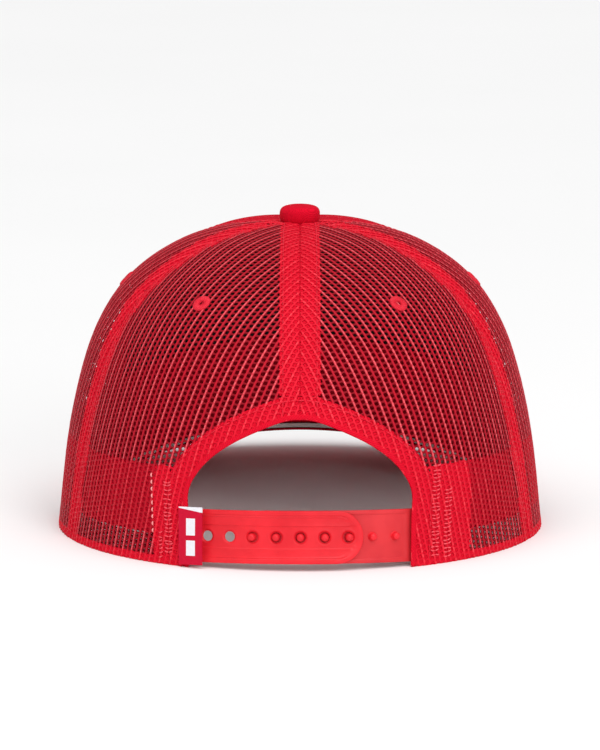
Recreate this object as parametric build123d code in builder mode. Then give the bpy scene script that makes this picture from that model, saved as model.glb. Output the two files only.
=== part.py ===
"""Trucker mesh cap, six panels, snap closure. Millimetres, +Z up.

Frame: the origin is the centre of the head opening, on the plane that the hem and the brim's sides rest on.
The brim points along -Y and the rear opening faces +Y. +X is the wearer's left.
"""

import math
import os

from build123d import *

os.makedirs("parts", exist_ok=True)

# ---------------------------------------------------------------- driving dimensions
HEAD_HALF_WIDTH = 89.0  # head opening, half its width at the hem
HEAD_HALF_LENGTH = 98.0  # head opening, half its length at the hem
CROWN_TOP = 111.4  # height of the crown's flat top, under the button
APEX_Y = -4.0  # the seams meet here

MESH_T = 0.9  # mesh panel thickness
TAPE_T = 0.6  # seam tape and facing thickness
BACKING_T = 0.6  # stiffener behind the front panels
BAND_T = 1.75  # sweatband thickness

REAR_SEAM = 65.0  # azimuth from the rear centre of the seam between rear and side panels
FRONT_SEAM = 122.0  # azimuth of the seam between side and front panels

TAPE_W = 13.0  # side seam tapes
CENTER_TAPE_W = 14.5  # rear centre seam tape
FACING_W = 8.0  # tape round the rear opening

BAND_LOW, BAND_HIGH = 10.5, 34.5  # sweatband, above the hem; the mesh hem hangs free below it

OPEN_HALF = 39.25  # rear opening, half its width
OPEN_TOP = 53.0  # rear opening, its height above the hem

BRIM_T = 3.6  # whole brim, cloth, board, cloth
CLOTH_T = 0.8  # brim cloth
BRIM_RISE = 19.0  # the underside's rise at the middle
BRIM_HALF = 88.0  # half width at which the underside meets the table
BRIM_TILT = 3.0  # degrees, nose down
BRIM_PIVOT_Y = -75.0
BRIM_LIFT = 0.45  # keeps the brim's sides just on the table
BRIM_TIP_Y = -168.0

STRAP_T = 1.1  # snap strap thickness
STRAP_H = 18.8  # snap strap height
STRAP_Z = 2.5  # its lower edge above the hem plane, at the middle
STRAP_LEAN = 5.5  # degrees the straps lean in at the top, with the crown
STRAP_R = 79.5  # curvature of the strap's middle surface, seen from above
STRAP_CY = 15.8  # centre of that curve
LEFT_HINGE_X = 36.0  # where the left strap bends, clear of the cloth's edge so that it can swing out
RIGHT_HINGE_X = -38.2  # where the right strap bends, at the cloth's edge; it swings in
STRAP_SPREAD = 1.14  # degrees that each strap turns off the common curve at its hinge, so one lies outside the other
LEFT_TIP_X, RIGHT_TIP_X = -22.4, 21.2
LEFT_TAB_X, RIGHT_TAB_X = 52.5, -58.0  # ends of the sewn tabs
FIRST_PEG = 12.0  # degrees round the strap's curve of the innermost peg
PEG_R, HOLE_R = 1.35, 1.85
PEG_H = 2.5  # from the inner strap's face
PITCH = 8.5  # pegs and holes, along the strap
PEGS = 7

EYELET_Z = 88.5  # height of the vent eyelets
EYELETS = {"rear": 30.5, "side": 93.5, "front": 151.0}  # azimuths
EYELET_R, EYELET_HOLE_R = 3.6, 0.9

BUTTON_R, BUTTON_H = 7.4, 6.2
LABEL_L, LABEL_H, LABEL_T = 9.4, 20.4, 0.8

# height, half width, front y, rear y of the crown's outer surface
CROWN = [
    (-6.0, 89.8, -98.2, 98.3),
    (0.0, HEAD_HALF_WIDTH, -HEAD_HALF_LENGTH, HEAD_HALF_LENGTH),
    (14.0, 87.2, -98.0, 97.0),
    (28.0, 85.0, -97.8, 95.4),
    (42.0, 82.3, -97.2, 92.8),
    (55.0, 79.3, -96.0, 89.0),
    (67.0, 75.6, -93.6, 84.0),
    (77.0, 71.0, -90.0, 78.0),
    (86.0, 65.0, -84.5, 70.0),
    (94.0, 56.8, -76.0, 59.5),
    (101.0, 46.2, -63.5, 46.8),
    (106.0, 35.0, -49.5, 34.7),
    (109.4, 22.5, -33.0, 20.5),
    (CROWN_TOP, 9.0, -14.0, 6.0),
]


# ---------------------------------------------------------------- crown surfaces
def sections(depth):
    """Ellipses of the crown's surface moved inwards by depth: (height, centre y, half width, half length)."""
    out = []
    for i, (z, a, front, rear) in enumerate(CROWN):
        lo, hi = CROWN[max(i - 1, 0)], CROWN[min(i + 1, len(CROWN) - 1)]
        dz = hi[0] - lo[0]
        dr = ((hi[1] - lo[1]) + (hi[3] - hi[2] - lo[3] + lo[2]) / 2) / 2
        size = math.hypot(dz, dr)
        inward, down = dz / size * depth, -dr / size * depth
        if i == len(CROWN) - 1:
            inward, down = depth * 0.35, depth
        out.append((z - down, (front + rear) / 2, a - inward, (rear - front) / 2 - inward))
    return out


def crown_solid(depth):
    with BuildPart() as body:
        for z, y, a, b in sections(depth):
            with BuildSketch(Plane.XY.offset(z)):
                with Locations((0, y)):
                    Ellipse(a, b)
        loft()
    return body.part


def crown_point(azimuth, z):
    """The point of the crown's outer surface at that azimuth from the rear centre, at that height, and the outward normal."""

    def at(z):
        rows = [r for r in CROWN]
        i = max(k for k in range(len(rows) - 1) if rows[k][0] <= z)
        t = (z - rows[i][0]) / (rows[i + 1][0] - rows[i][0])
        p0, p1, p2, p3 = rows[max(i - 1, 0)], rows[i], rows[i + 1], rows[min(i + 2, len(rows) - 1)]
        got = []
        for k in (1, 2, 3):
            h = p2[0] - p1[0]
            m1 = (p2[k] - p0[k]) / (p2[0] - p0[0]) * h
            m2 = (p3[k] - p1[k]) / (p3[0] - p1[0]) * h
            t2, t3 = t * t, t * t * t
            got.append(p1[k] * (2 * t3 - 3 * t2 + 1) + m1 * (t3 - 2 * t2 + t) + p2[k] * (3 * t2 - 2 * t3) + m2 * (t3 - t2))
        return got

    def reach(azimuth, z):
        a, front, rear = at(z)
        c, b = (front + rear) / 2, (rear - front) / 2
        s, k = math.sin(math.radians(azimuth)), math.cos(math.radians(azimuth))
        qa = (s / a) ** 2 + (k / b) ** 2
        qb = 2 * k * (APEX_Y - c) / b**2
        qc = ((APEX_Y - c) / b) ** 2 - 1
        r = (-qb + math.sqrt(qb * qb - 4 * qa * qc)) / (2 * qa)
        return Vector(s * r, APEX_Y + k * r, z)

    p = reach(azimuth, z)
    along = reach(azimuth + 0.5, z) - reach(azimuth - 0.5, z)
    up = reach(azimuth, z + 0.4) - reach(azimuth, z - 0.4)
    n = along.cross(up).normalized()
    if n.dot(Vector(p.X, p.Y - APEX_Y, 20)) < 0:
        n = n * -1
    return p, n


def wedge(start, end, reach=320.0):
    """Corners of a wedge seen from above, from the apex axis."""
    pts = [(0.0, APEX_Y)]
    for az in (start, end):
        pts.append((reach * math.sin(math.radians(az)), APEX_Y + reach * math.cos(math.radians(az))))
    return pts


def strip(azimuth, width, inner, outer=320.0):
    """Corners of a straight strip seen from above, along a seam."""
    s, c = math.sin(math.radians(azimuth)), math.cos(math.radians(azimuth))
    h = width / 2
    return [
        (s * r + c * w, APEX_Y + c * r - s * w)
        for r, w in ((inner, -h), (outer, -h), (outer, h), (inner, h))
    ]


# the brim is a slab bent about an axis along Y, nose down
TILT = math.radians(BRIM_TILT)
BRIM_R = (BRIM_HALF**2 + BRIM_RISE**2) / (2 * BRIM_RISE)
BRIM_PLANE = Plane(
    origin=(0, BRIM_PIVOT_Y, BRIM_LIFT),
    x_dir=(1, 0, 0),
    z_dir=(0, -math.cos(TILT), -math.sin(TILT)),
)


def brim_z(x, lift):
    """Height of the brim's surface, lift above its underside, at half width x, in the brim's own plane."""
    r = BRIM_R + lift
    return BRIM_RISE - BRIM_R + math.sqrt(r * r - x * x)


def brim_slab(low, high, half=100.0):
    """The bent layer between two heights above the brim's underside."""
    with BuildPart() as slab:
        with BuildSketch(BRIM_PLANE):
            with BuildLine():
                a = ThreePointArc((-half, brim_z(half, low)), (0, brim_z(0, low)), (half, brim_z(half, low)))
                b = ThreePointArc((-half, brim_z(half, high)), (0, brim_z(0, high)), (half, brim_z(half, high)))
                Line(a @ 0, b @ 0)
                Line(a @ 1, b @ 1)
            make_face()
        extrude(amount=120, both=True)
    return slab.part


def under_front_hem(lift=0.0):
    """Two solids that hold everything below the front hem line: under the brim's top surface in front, and under a soft curve seen from the side where the hem comes down to the table."""
    top_r = brim_z(80.0, BRIM_T + lift) + BRIM_LIFT + (-43.0 - BRIM_PIVOT_Y) * math.tan(TILT)
    with BuildPart() as front:
        with BuildSketch(BRIM_PLANE):
            with BuildLine():
                a = ThreePointArc(
                    (-110, brim_z(110, BRIM_T + lift)), (0, brim_z(0, BRIM_T + lift)), (110, brim_z(110, BRIM_T + lift))
                )
                Polyline(a @ 1, (110, -60), (-110, -60), a @ 0)
            make_face()
        extrude(amount=70, both=True)
        with BuildSketch(Plane.XZ.offset(43.0)):
            Rectangle(400, 400)
        extrude(amount=-200, mode=Mode.SUBTRACT)
    with BuildPart() as sides:
        with BuildSketch(Plane.YZ):
            with BuildLine():
                s = Spline((0, lift), (-22, lift + (top_r - lift) * 0.46), (-43, top_r), tangents=[(-1, 0), (-1, 0.15)])
                Polyline(s @ 1, (-44, top_r), (-44, -60), (0, -60), s @ 0)
            make_face()
        extrude(amount=120, both=True)
    return [front.part, sides.part]


def below_plane(z):
    with BuildPart() as slab:
        with BuildSketch(Plane.XY.offset(z)):
            Rectangle(500, 500)
        extrude(amount=-80)
    return slab.part


# ---------------------------------------------------------------- rear opening
ARCH = [(39.25, 26.0), (36.6, 32.2), (31.2, 38.6), (23.6, 44.2), (14.6, 48.8), (6.0, 52.2)]


def opening_prism(grow=0.0):
    """The rear opening's outline, moved outward by grow, run through the back of the crown."""
    pts = []
    for k, (x, z) in enumerate(ARCH):
        xa, za = ARCH[max(k - 1, 0)]
        xb, zb = ARCH[k + 1] if k + 1 < len(ARCH) else (0.0, OPEN_TOP)
        if k == 0:
            xb, zb = xa, za + 1
        size = math.hypot(xb - xa, zb - za)
        pts.append((x + (zb - za) / size * grow, z - (xb - xa) / size * grow))
    with BuildPart() as prism:
        with BuildSketch(Plane.XZ.offset(-20)):
            with BuildLine():
                r = Spline(*pts, (0, OPEN_TOP + grow), tangents=[(0, 1), (-1, 0.04)])
                Polyline(r @ 0, (pts[0][0], -12), (0, -12), (0, OPEN_TOP + grow))
            make_face()
            mirror(about=Plane.YZ)
        extrude(amount=-120)
    return prism.part


# ---------------------------------------------------------------- shared solids
depths = {d: crown_solid(d) for d in (0.0, 0.9, 1.5, 2.1, 2.15, 3.9)}


def shell_between(low, high):
    with BuildPart() as s:
        add(depths[low])
        add(depths[high], mode=Mode.SUBTRACT)
        add(below_plane(0), mode=Mode.SUBTRACT)
    return s.part


panel_shell = shell_between(0.0, 0.9)
facing_shell = shell_between(0.9, 1.5)
front_tape_shell = shell_between(1.5, 2.1)
band_shell = shell_between(2.15, 3.9)
front_cut = under_front_hem()
arch_cut = opening_prism()
print("shells ready")

made = {}


def keep(builder, name):
    part = builder.part
    part.label = name
    made[name] = part
    export_step(part, f"parts/{name}.step")
    print(f"{name:24s} solids {len(part.solids())} volume {part.volume:9.1f} valid {part.is_valid}")


def eyelet_plane(azimuth, depth=0.0):
    p, n = crown_point(azimuth, EYELET_Z)
    return Plane(origin=p - n * depth, z_dir=n)


# ---------------------------------------------------------------- crown panels
PANELS = {
    "mesh_rear_left": (0, REAR_SEAM, "rear", 1),
    "mesh_rear_right": (-REAR_SEAM, 0, "rear", -1),
    "mesh_side_left": (REAR_SEAM, FRONT_SEAM, "side", 1),
    "mesh_side_right": (-FRONT_SEAM, -REAR_SEAM, "side", -1),
    "front_panel_left": (FRONT_SEAM, 180, "front", 1),
    "front_panel_right": (-180, -FRONT_SEAM, "front", -1),
}
for name, (start, end, where, side) in PANELS.items():
    with BuildPart() as panel:
        add(panel_shell)
        with BuildSketch(Plane.XY.offset(-10)):
            Polygon(*wedge(start, end), align=None)
        extrude(amount=140, mode=Mode.INTERSECT)
        if where == "rear":
            add(arch_cut, mode=Mode.SUBTRACT)
        else:
            for cut in front_cut:
                add(cut, mode=Mode.SUBTRACT)
        with BuildSketch(eyelet_plane(side * EYELETS[where], 4)):
            Circle(2.05)
        extrude(amount=8, mode=Mode.SUBTRACT)
        with BuildSketch(Plane.XY.offset(100)):
            with Locations((0, APEX_Y)):
                Circle(1.7)
        extrude(amount=20, mode=Mode.SUBTRACT)
    keep(panel, name)

# stiffener behind the two front panels
for name, start, end, side in (("front_backing_left", FRONT_SEAM, 180, 1), ("front_backing_right", -180, -FRONT_SEAM, -1)):
    with BuildPart() as backing:
        add(facing_shell)
        with BuildSketch(Plane.XY.offset(-10)):
            Polygon(*wedge(start, end), align=None)
        extrude(amount=140, mode=Mode.INTERSECT)
        for cut in front_cut:
            add(cut, mode=Mode.SUBTRACT)
        with BuildSketch(eyelet_plane(side * EYELETS["front"], 5)):
            Circle(2.05)
        extrude(amount=9, mode=Mode.SUBTRACT)
        with BuildSketch(Plane.XY.offset(90)):
            with Locations((0, APEX_Y)):
                Circle(14.0)
        extrude(amount=30, mode=Mode.SUBTRACT)
    keep(backing, name)

# ---------------------------------------------------------------- seam tapes, inside the crown
facing_outline = opening_prism(FACING_W)
TAPES = {
    "seam_tape_rear_center": (0, CENTER_TAPE_W, 2.2, facing_shell, [facing_outline]),
    "seam_tape_rear_left": (REAR_SEAM, TAPE_W, 15.5, facing_shell, []),
    "seam_tape_rear_right": (-REAR_SEAM, TAPE_W, 15.5, facing_shell, []),
    "seam_tape_front_left": (FRONT_SEAM, TAPE_W, 15.5, front_tape_shell, front_cut),
    "seam_tape_front_right": (-FRONT_SEAM, TAPE_W, 15.5, front_tape_shell, front_cut),
    "seam_tape_front_center": (180, TAPE_W, 2.2, front_tape_shell, front_cut),
}
for name, (azimuth, width, inner, shell, cuts) in TAPES.items():
    with BuildPart() as tape:
        add(shell)
        with BuildSketch(Plane.XY.offset(-10)):
            Polygon(*strip(azimuth, width, inner), align=None)
        extrude(amount=140, mode=Mode.INTERSECT)
        for cut in cuts:
            add(cut, mode=Mode.SUBTRACT)
    keep(tape, name)

# tape that faces the edge of the rear opening, inside
with BuildPart() as facing:
    add(facing_shell)
    add(facing_outline, mode=Mode.INTERSECT)
    add(arch_cut, mode=Mode.SUBTRACT)
keep(facing, "opening_facing")

# ---------------------------------------------------------------- sweatband
with BuildPart() as above_band:
    with BuildSketch(Plane.XY.offset(BAND_HIGH)):
        Rectangle(500, 500)
    extrude(amount=100)
    for cut in under_front_hem(BAND_HIGH - BAND_LOW):
        add(cut, mode=Mode.SUBTRACT)
with BuildPart() as sweatband:
    add(band_shell)
    add(above_band.part, mode=Mode.SUBTRACT)
    add(below_plane(BAND_LOW), mode=Mode.SUBTRACT)
    for cut in front_cut:
        add(cut, mode=Mode.SUBTRACT)
    with BuildSketch(Plane.XZ.offset(-20)):
        with Locations(((LEFT_TAB_X + RIGHT_TAB_X) / 2, 20)):
            Rectangle(LEFT_TAB_X - RIGHT_TAB_X + 1.0, 60)
    extrude(amount=-120, mode=Mode.SUBTRACT)
keep(sweatband, "sweatband")

# ---------------------------------------------------------------- brim
BRIM_PLAN = [(82, -38), (87, -75), (84, -110), (66.5, -143), (35, -162.5), (0, BRIM_TIP_Y)]


def brim_outline(inset):
    """A prism of the brim's plan, its outer edge moved in by inset."""
    pts = []
    for k, (x, y) in enumerate(BRIM_PLAN):
        xa, ya = BRIM_PLAN[max(k - 1, 0)]
        xb, yb = BRIM_PLAN[k + 1] if k + 1 < len(BRIM_PLAN) else (-xa, ya)
        size = math.hypot(xb - xa, yb - ya)
        pts.append((x + (yb - ya) / size * inset, y - (xb - xa) / size * inset))
    with BuildPart() as prism:
        with BuildSketch(Plane.XY.offset(-10)):
            with BuildLine():
                s = Spline(*pts, *[(-x, y) for x, y in reversed(pts[:-1])])
                Line(s @ 0, s @ 1)
            make_face()
        extrude(amount=60)
        with BuildSketch(Plane.XY.offset(-10)):
            Ellipse(HEAD_HALF_WIDTH - 3.0, HEAD_HALF_LENGTH - 3.0)
            Rectangle(400, 87)
        extrude(amount=60, mode=Mode.SUBTRACT)
    return prism.part


brim_plan, brim_inner_plan, board_plan = brim_outline(0.0), brim_outline(1.45), brim_outline(1.55)

with BuildPart() as under_cloth:
    add(brim_slab(0.0, CLOTH_T))
    add(brim_plan, mode=Mode.INTERSECT)
keep(under_cloth, "brim_under_cloth")

with BuildPart() as board:
    add(brim_slab(CLOTH_T + 0.03, BRIM_T - CLOTH_T - 0.03))
    add(board_plan, mode=Mode.INTERSECT)
keep(board, "brim_board")

with BuildPart() as top_cloth:
    add(brim_slab(CLOTH_T + 0.03, BRIM_T))
    add(brim_plan, mode=Mode.INTERSECT)
    with BuildPart(mode=Mode.PRIVATE) as pocket:
        add(brim_slab(-1.0, BRIM_T - CLOTH_T))
        add(brim_inner_plan, mode=Mode.INTERSECT)
    add(pocket.part, mode=Mode.SUBTRACT)
keep(top_cloth, "brim_top_cloth")

# ---------------------------------------------------------------- covered button on the apex
BUTTON_Z = CROWN_TOP + 0.1
AXIS = Plane(origin=(0, APEX_Y, BUTTON_Z), x_dir=(1, 0, 0), z_dir=(0, -1, 0))
TURN = Axis((0, APEX_Y, 0), (0, 0, 1))
with BuildPart() as cover:
    with BuildSketch(AXIS):
        with BuildLine():
            o = Spline((6.7, 0), (BUTTON_R, 2.0), (6.5, 4.5), (4.0, 5.8), (0, BUTTON_H), tangents=[(0.35, 1), (-1, 0)])
            i = Spline((0, BUTTON_H - 0.7), (3.7, 5.1), (6.0, 4.0), (6.75, 2.0), (6.1, 0), tangents=[(1, 0), (-0.35, -1)])
            Line(o @ 1, i @ 0)
            Line(i @ 1, o @ 0)
        make_face()
    revolve(axis=TURN)
keep(cover, "button_cover")

with BuildPart() as core:
    with BuildSketch(AXIS):
        with BuildLine():
            i = Spline((0, BUTTON_H - 0.75), (3.65, 5.05), (5.9, 3.95), (6.68, 2.0), (6.0, 0), tangents=[(1, 0), (-0.35, -1)])
            Polyline(i @ 1, (1.5, 0), (1.5, -4.0), (0, -4.0), i @ 0)
        make_face()
    revolve(axis=TURN)
keep(core, "button_core")

with BuildPart() as washer:
    with BuildSketch(AXIS.offset(0)):
        with BuildLine():
            Polyline((1.55, -3.2), (6.4, -3.2), (7.0, -2.8), (7.0, -2.35), (1.55, -2.35), (1.55, -3.2))
        make_face()
    revolve(axis=TURN)
keep(washer, "button_washer")

# ---------------------------------------------------------------- stitched vent eyelets
for where, azimuth in EYELETS.items():
    wall = MESH_T + (BACKING_T if where == "front" else 0.0)
    for side, hand in ((1, "left"), (-1, "right")):
        spot = eyelet_plane(side * azimuth)
        with BuildPart() as eyelet:
            with BuildSketch(spot.offset(0.1)):
                Circle(EYELET_R)
            extrude(amount=0.6)
            fillet(eyelet.edges().filter_by(GeomType.CIRCLE).sort_by(Axis(spot.origin, spot.z_dir))[-1], 0.4)
            with BuildSketch(spot.offset(0.2)):
                Circle(2.0)
            extrude(amount=-(wall + 0.6))
            with BuildSketch(spot.offset(-wall - 0.15)):
                Circle(3.2)
            extrude(amount=-0.4)
            with BuildSketch(spot.offset(5)):
                Circle(EYELET_HOLE_R)
            extrude(amount=-10, mode=Mode.SUBTRACT)
        keep(eyelet, f"eyelet_{where}_{hand}")

# ---------------------------------------------------------------- snap strap
LEAN = math.radians(STRAP_LEAN)
STRAP_FRAME = Plane(
    origin=(0, STRAP_CY, STRAP_Z + (STRAP_R) * -math.sin(LEAN)),
    x_dir=(1, 0, 0),
    z_dir=(0, -math.sin(LEAN), math.cos(LEAN)),
)
# the strap seen from outside, x to the left of the wearer, y up the strap
STRAP_FACE = Plane(origin=STRAP_FRAME.origin, x_dir=(1, 0, 0), z_dir=(0, -math.cos(LEAN), -math.sin(LEAN)))


def arc_point(theta, radius, center=(0.0, 0.0)):
    t = math.radians(theta)
    return (center[0] + radius * math.sin(t), center[1] + radius * math.cos(t))


def theta_at(x):
    return math.degrees(math.asin(x / STRAP_R))


def turned_center(theta, turn):
    """Centre of the strap's curve after it turns clockwise, seen from above, about its hinge."""
    hx, hy = arc_point(theta, STRAP_R)
    t = math.radians(turn)
    return (hx + math.cos(t) * -hx + math.sin(t) * -hy, hy - math.sin(t) * -hx + math.cos(t) * -hy)


def arc_band(start, end, low, high, center=(0.0, 0.0)):
    """A curved strip's plan between two angles and two radii."""
    with BuildSketch() as band:
        with BuildLine():
            mid = (start + end) / 2
            a = ThreePointArc(arc_point(start, low, center), arc_point(mid, low, center), arc_point(end, low, center))
            b = ThreePointArc(arc_point(start, high, center), arc_point(mid, high, center), arc_point(end, high, center))
            Line(a @ 0, b @ 0)
            Line(a @ 1, b @ 1)
        make_face()
    return band.sketch


H = STRAP_T / 2
LEFT_HINGE, RIGHT_HINGE = theta_at(LEFT_HINGE_X), theta_at(RIGHT_HINGE_X)
LEFT_CENTER, RIGHT_CENTER = turned_center(LEFT_HINGE, STRAP_SPREAD), turned_center(RIGHT_HINGE, STRAP_SPREAD)
PITCH_DEG = math.degrees(PITCH / STRAP_R)
PEG_ANGLES = [FIRST_PEG - k * PITCH_DEG for k in range(PEGS)]
HOLE_ANGLES = [FIRST_PEG + (2 - k) * PITCH_DEG for k in range(PEGS)]
MIDDLE = STRAP_H / 2
CLEAR_DEG = math.degrees(1.12 / STRAP_R)


def radial_plane(theta, radius, center):
    """A plane facing outwards across the strap, at mid height."""
    x, y = arc_point(theta, radius, center)
    t = math.radians(theta)
    o = STRAP_FRAME.from_local_coords((x, y, MIDDLE))
    d = STRAP_FRAME.from_local_coords((x + math.sin(t), y + math.cos(t), MIDDLE)) - o
    return Plane(origin=o, z_dir=d)


# sewn tabs
for name, start, end in (
    ("strap_left_root", LEFT_HINGE + CLEAR_DEG, theta_at(LEFT_TAB_X)),
    ("strap_right_root", theta_at(RIGHT_TAB_X), RIGHT_HINGE - CLEAR_DEG),
):
    with BuildPart() as root:
        with BuildSketch(STRAP_FRAME):
            add(arc_band(start, end, STRAP_R - H, STRAP_R + H))
        extrude(amount=STRAP_H)
    keep(root, name)

# the outer strap, with the holes
RIM = 1.6  # raised border
CHANNEL = 3.9  # half height of the middle channel
tip = theta_at(LEFT_TIP_X) + STRAP_SPREAD
hinge = LEFT_HINGE + STRAP_SPREAD
with BuildPart() as left_strap:
    with BuildSketch(STRAP_FRAME):
        add(arc_band(tip, hinge, STRAP_R - H, STRAP_R + H, LEFT_CENTER))
        with Locations(arc_point(LEFT_HINGE, STRAP_R)):
            Circle(H)
    extrude(amount=STRAP_H)
    with BuildSketch(STRAP_FACE):
        with BuildLine():
            tx = arc_point(tip, STRAP_R, LEFT_CENTER)[0]
            c = (tx + 9.2, MIDDLE)
            Polyline((c[0], STRAP_H + 0.01), (60, STRAP_H + 0.01), (60, -0.01), (c[0], -0.01))
            ThreePointArc((c[0], -0.01), (tx - 0.15, MIDDLE), (c[0], STRAP_H + 0.01))
        make_face()
    extrude(amount=-120, mode=Mode.INTERSECT)
    # recessed face inside the raised border, then the channel with the holes
    with BuildSketch(STRAP_FRAME.offset(RIM + 0.9)):
        add(arc_band(tip + 7.2, hinge - 0.9, STRAP_R + H - 0.12, STRAP_R + H + 2, LEFT_CENTER))
    extrude(amount=STRAP_H - 2 * (RIM + 0.9), mode=Mode.SUBTRACT)
    with BuildSketch(STRAP_FRAME.offset(MIDDLE - CHANNEL)):
        add(arc_band(tip + 1.9, hinge - 0.9, STRAP_R + H - 0.28, STRAP_R + H + 2, LEFT_CENTER))
    extrude(amount=2 * CHANNEL, mode=Mode.SUBTRACT)
    for theta in HOLE_ANGLES:
        with BuildSketch(radial_plane(theta + STRAP_SPREAD, STRAP_R - 3, LEFT_CENTER)):
            Circle(HOLE_R)
        extrude(amount=6, mode=Mode.SUBTRACT)
keep(left_strap, "strap_left")

# the inner strap, with the pegs
tip = theta_at(RIGHT_TIP_X) + STRAP_SPREAD
hinge = RIGHT_HINGE + STRAP_SPREAD
with BuildPart() as right_strap:
    with BuildSketch(STRAP_FRAME):
        add(arc_band(hinge, tip, STRAP_R - H, STRAP_R + H, RIGHT_CENTER))
        with Locations(arc_point(RIGHT_HINGE, STRAP_R)):
            Circle(H)
    extrude(amount=STRAP_H)
    with BuildSketch(STRAP_FACE):
        with BuildLine():
            tx = arc_point(tip, STRAP_R, RIGHT_CENTER)[0]
            c = (tx - 9.2, MIDDLE)
            Polyline((c[0], STRAP_H + 0.01), (-60, STRAP_H + 0.01), (-60, -0.01), (c[0], -0.01))
            ThreePointArc((c[0], -0.01), (tx + 0.15, MIDDLE), (c[0], STRAP_H + 0.01))
        make_face()
    extrude(amount=-120, mode=Mode.INTERSECT)
    with BuildSketch(STRAP_FRAME.offset(RIM)):
        add(arc_band(hinge + 0.9, tip + 1, STRAP_R + H - 0.12, STRAP_R + H + 2, RIGHT_CENTER))
    extrude(amount=STRAP_H - 2 * RIM, mode=Mode.SUBTRACT)
    for theta in PEG_ANGLES:
        foot = radial_plane(theta + STRAP_SPREAD, STRAP_R + H - 0.4, RIGHT_CENTER)
        with BuildSketch(foot):
            Circle(PEG_R)
        extrude(amount=PEG_H + 0.4)
        fillet(
            right_strap.edges().filter_by(GeomType.CIRCLE).sort_by_distance(foot.origin + foot.z_dir * (PEG_H + 0.4))[0],
            1.0,
        )
keep(right_strap, "strap_right")

# ---------------------------------------------------------------- woven flag label over the start of the outer strap
LABEL_X, LABEL_Z = 42.4, 0.9
with BuildPart() as label:
    _, n = crown_point(math.degrees(math.atan2(38.0, 87.6 - APEX_Y)), 10.0)
    turn = math.atan2(n.X, n.Y)
    w, out = crown_point(math.degrees(math.atan2(LABEL_X, 86.6 - APEX_Y)), LABEL_Z)
    sewn = w + out * (0.5 + LABEL_T / 2)
    LABEL_PLANE = Plane(
        origin=sewn,
        x_dir=STRAP_FRAME.x_dir * math.cos(turn) - STRAP_FRAME.y_dir * math.sin(turn),
        z_dir=STRAP_FRAME.z_dir,
    )
    with BuildSketch(LABEL_PLANE):
        with Locations((-LABEL_L / 2, 0)):
            Rectangle(LABEL_L, LABEL_T)
    extrude(amount=LABEL_H)
    fillet(label.edges().filter_by(Axis(sewn, STRAP_FRAME.z_dir)), 0.3)
keep(label, "flag_label")

whole = Compound(children=list(made.values()))
print("whole", whole.bounding_box())
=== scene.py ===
import math

import bpy
import numpy as np
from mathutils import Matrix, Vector


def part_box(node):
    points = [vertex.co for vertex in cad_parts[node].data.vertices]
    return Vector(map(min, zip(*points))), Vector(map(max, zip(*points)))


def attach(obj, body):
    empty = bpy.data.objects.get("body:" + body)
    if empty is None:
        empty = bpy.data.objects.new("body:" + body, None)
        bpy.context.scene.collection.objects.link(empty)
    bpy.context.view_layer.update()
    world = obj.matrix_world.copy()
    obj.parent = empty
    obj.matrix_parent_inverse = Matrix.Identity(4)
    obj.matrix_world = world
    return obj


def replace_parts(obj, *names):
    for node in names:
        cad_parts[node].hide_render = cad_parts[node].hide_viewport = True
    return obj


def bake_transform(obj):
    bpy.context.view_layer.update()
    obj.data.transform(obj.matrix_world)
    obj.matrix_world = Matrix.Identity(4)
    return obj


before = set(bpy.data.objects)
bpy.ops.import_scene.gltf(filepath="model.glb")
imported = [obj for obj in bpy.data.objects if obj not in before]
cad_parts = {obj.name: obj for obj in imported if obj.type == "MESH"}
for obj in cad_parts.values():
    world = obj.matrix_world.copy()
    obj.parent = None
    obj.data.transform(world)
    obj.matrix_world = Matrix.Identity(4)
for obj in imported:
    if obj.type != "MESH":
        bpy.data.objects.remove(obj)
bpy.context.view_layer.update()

MM = 0.001

# ------------------------------------------------------------------ sizes shared with the solids, in millimetres
APEX_Y = -4.0
REAR_SEAM, FRONT_SEAM = 65.0, 122.0
CROWN = np.array([
    (-6.0, 89.8, -98.2, 98.3), (0.0, 89.0, -98.0, 98.0), (14.0, 87.2, -98.0, 97.0), (28.0, 85.0, -97.8, 95.4),
    (42.0, 82.3, -97.2, 92.8), (55.0, 79.3, -96.0, 89.0), (67.0, 75.6, -93.6, 84.0), (77.0, 71.0, -90.0, 78.0),
    (86.0, 65.0, -84.5, 70.0), (94.0, 56.8, -76.0, 59.5), (101.0, 46.2, -63.5, 46.8), (106.0, 35.0, -49.5, 34.7),
    (109.4, 22.5, -33.0, 20.5), (111.4, 9.0, -14.0, 6.0)])
ARCH = [(39.25, 26.0), (36.6, 32.2), (31.2, 38.6), (23.6, 44.2), (14.6, 48.8), (6.0, 52.2), (0.0, 53.0)]
BRIM_T, BRIM_RISE, BRIM_HALF, TILT, BRIM_LIFT = 3.6, 19.0, 88.0, math.radians(3.0), 0.45
BRIM_R = (BRIM_HALF ** 2 + BRIM_RISE ** 2) / (2 * BRIM_RISE)
BRIM_PLAN = [(82, -38), (87, -75), (84, -110), (66.5, -143), (35, -162.5), (0, -168)]
STRAP_R, STRAP_CY, STRAP_Z, STRAP_LEAN = 79.5, 15.8, 2.5, math.radians(5.5)
STRAP_T, STRAP_H = 1.1, 18.8
SPREAD = math.radians(1.14)
LEFT_HINGE_X, RIGHT_HINGE_X, LEFT_TIP_X, RIGHT_TIP_X, LEFT_TAB_X, RIGHT_TAB_X = 36.0, -38.2, -22.4, 21.2, 52.5, -58.0


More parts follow.
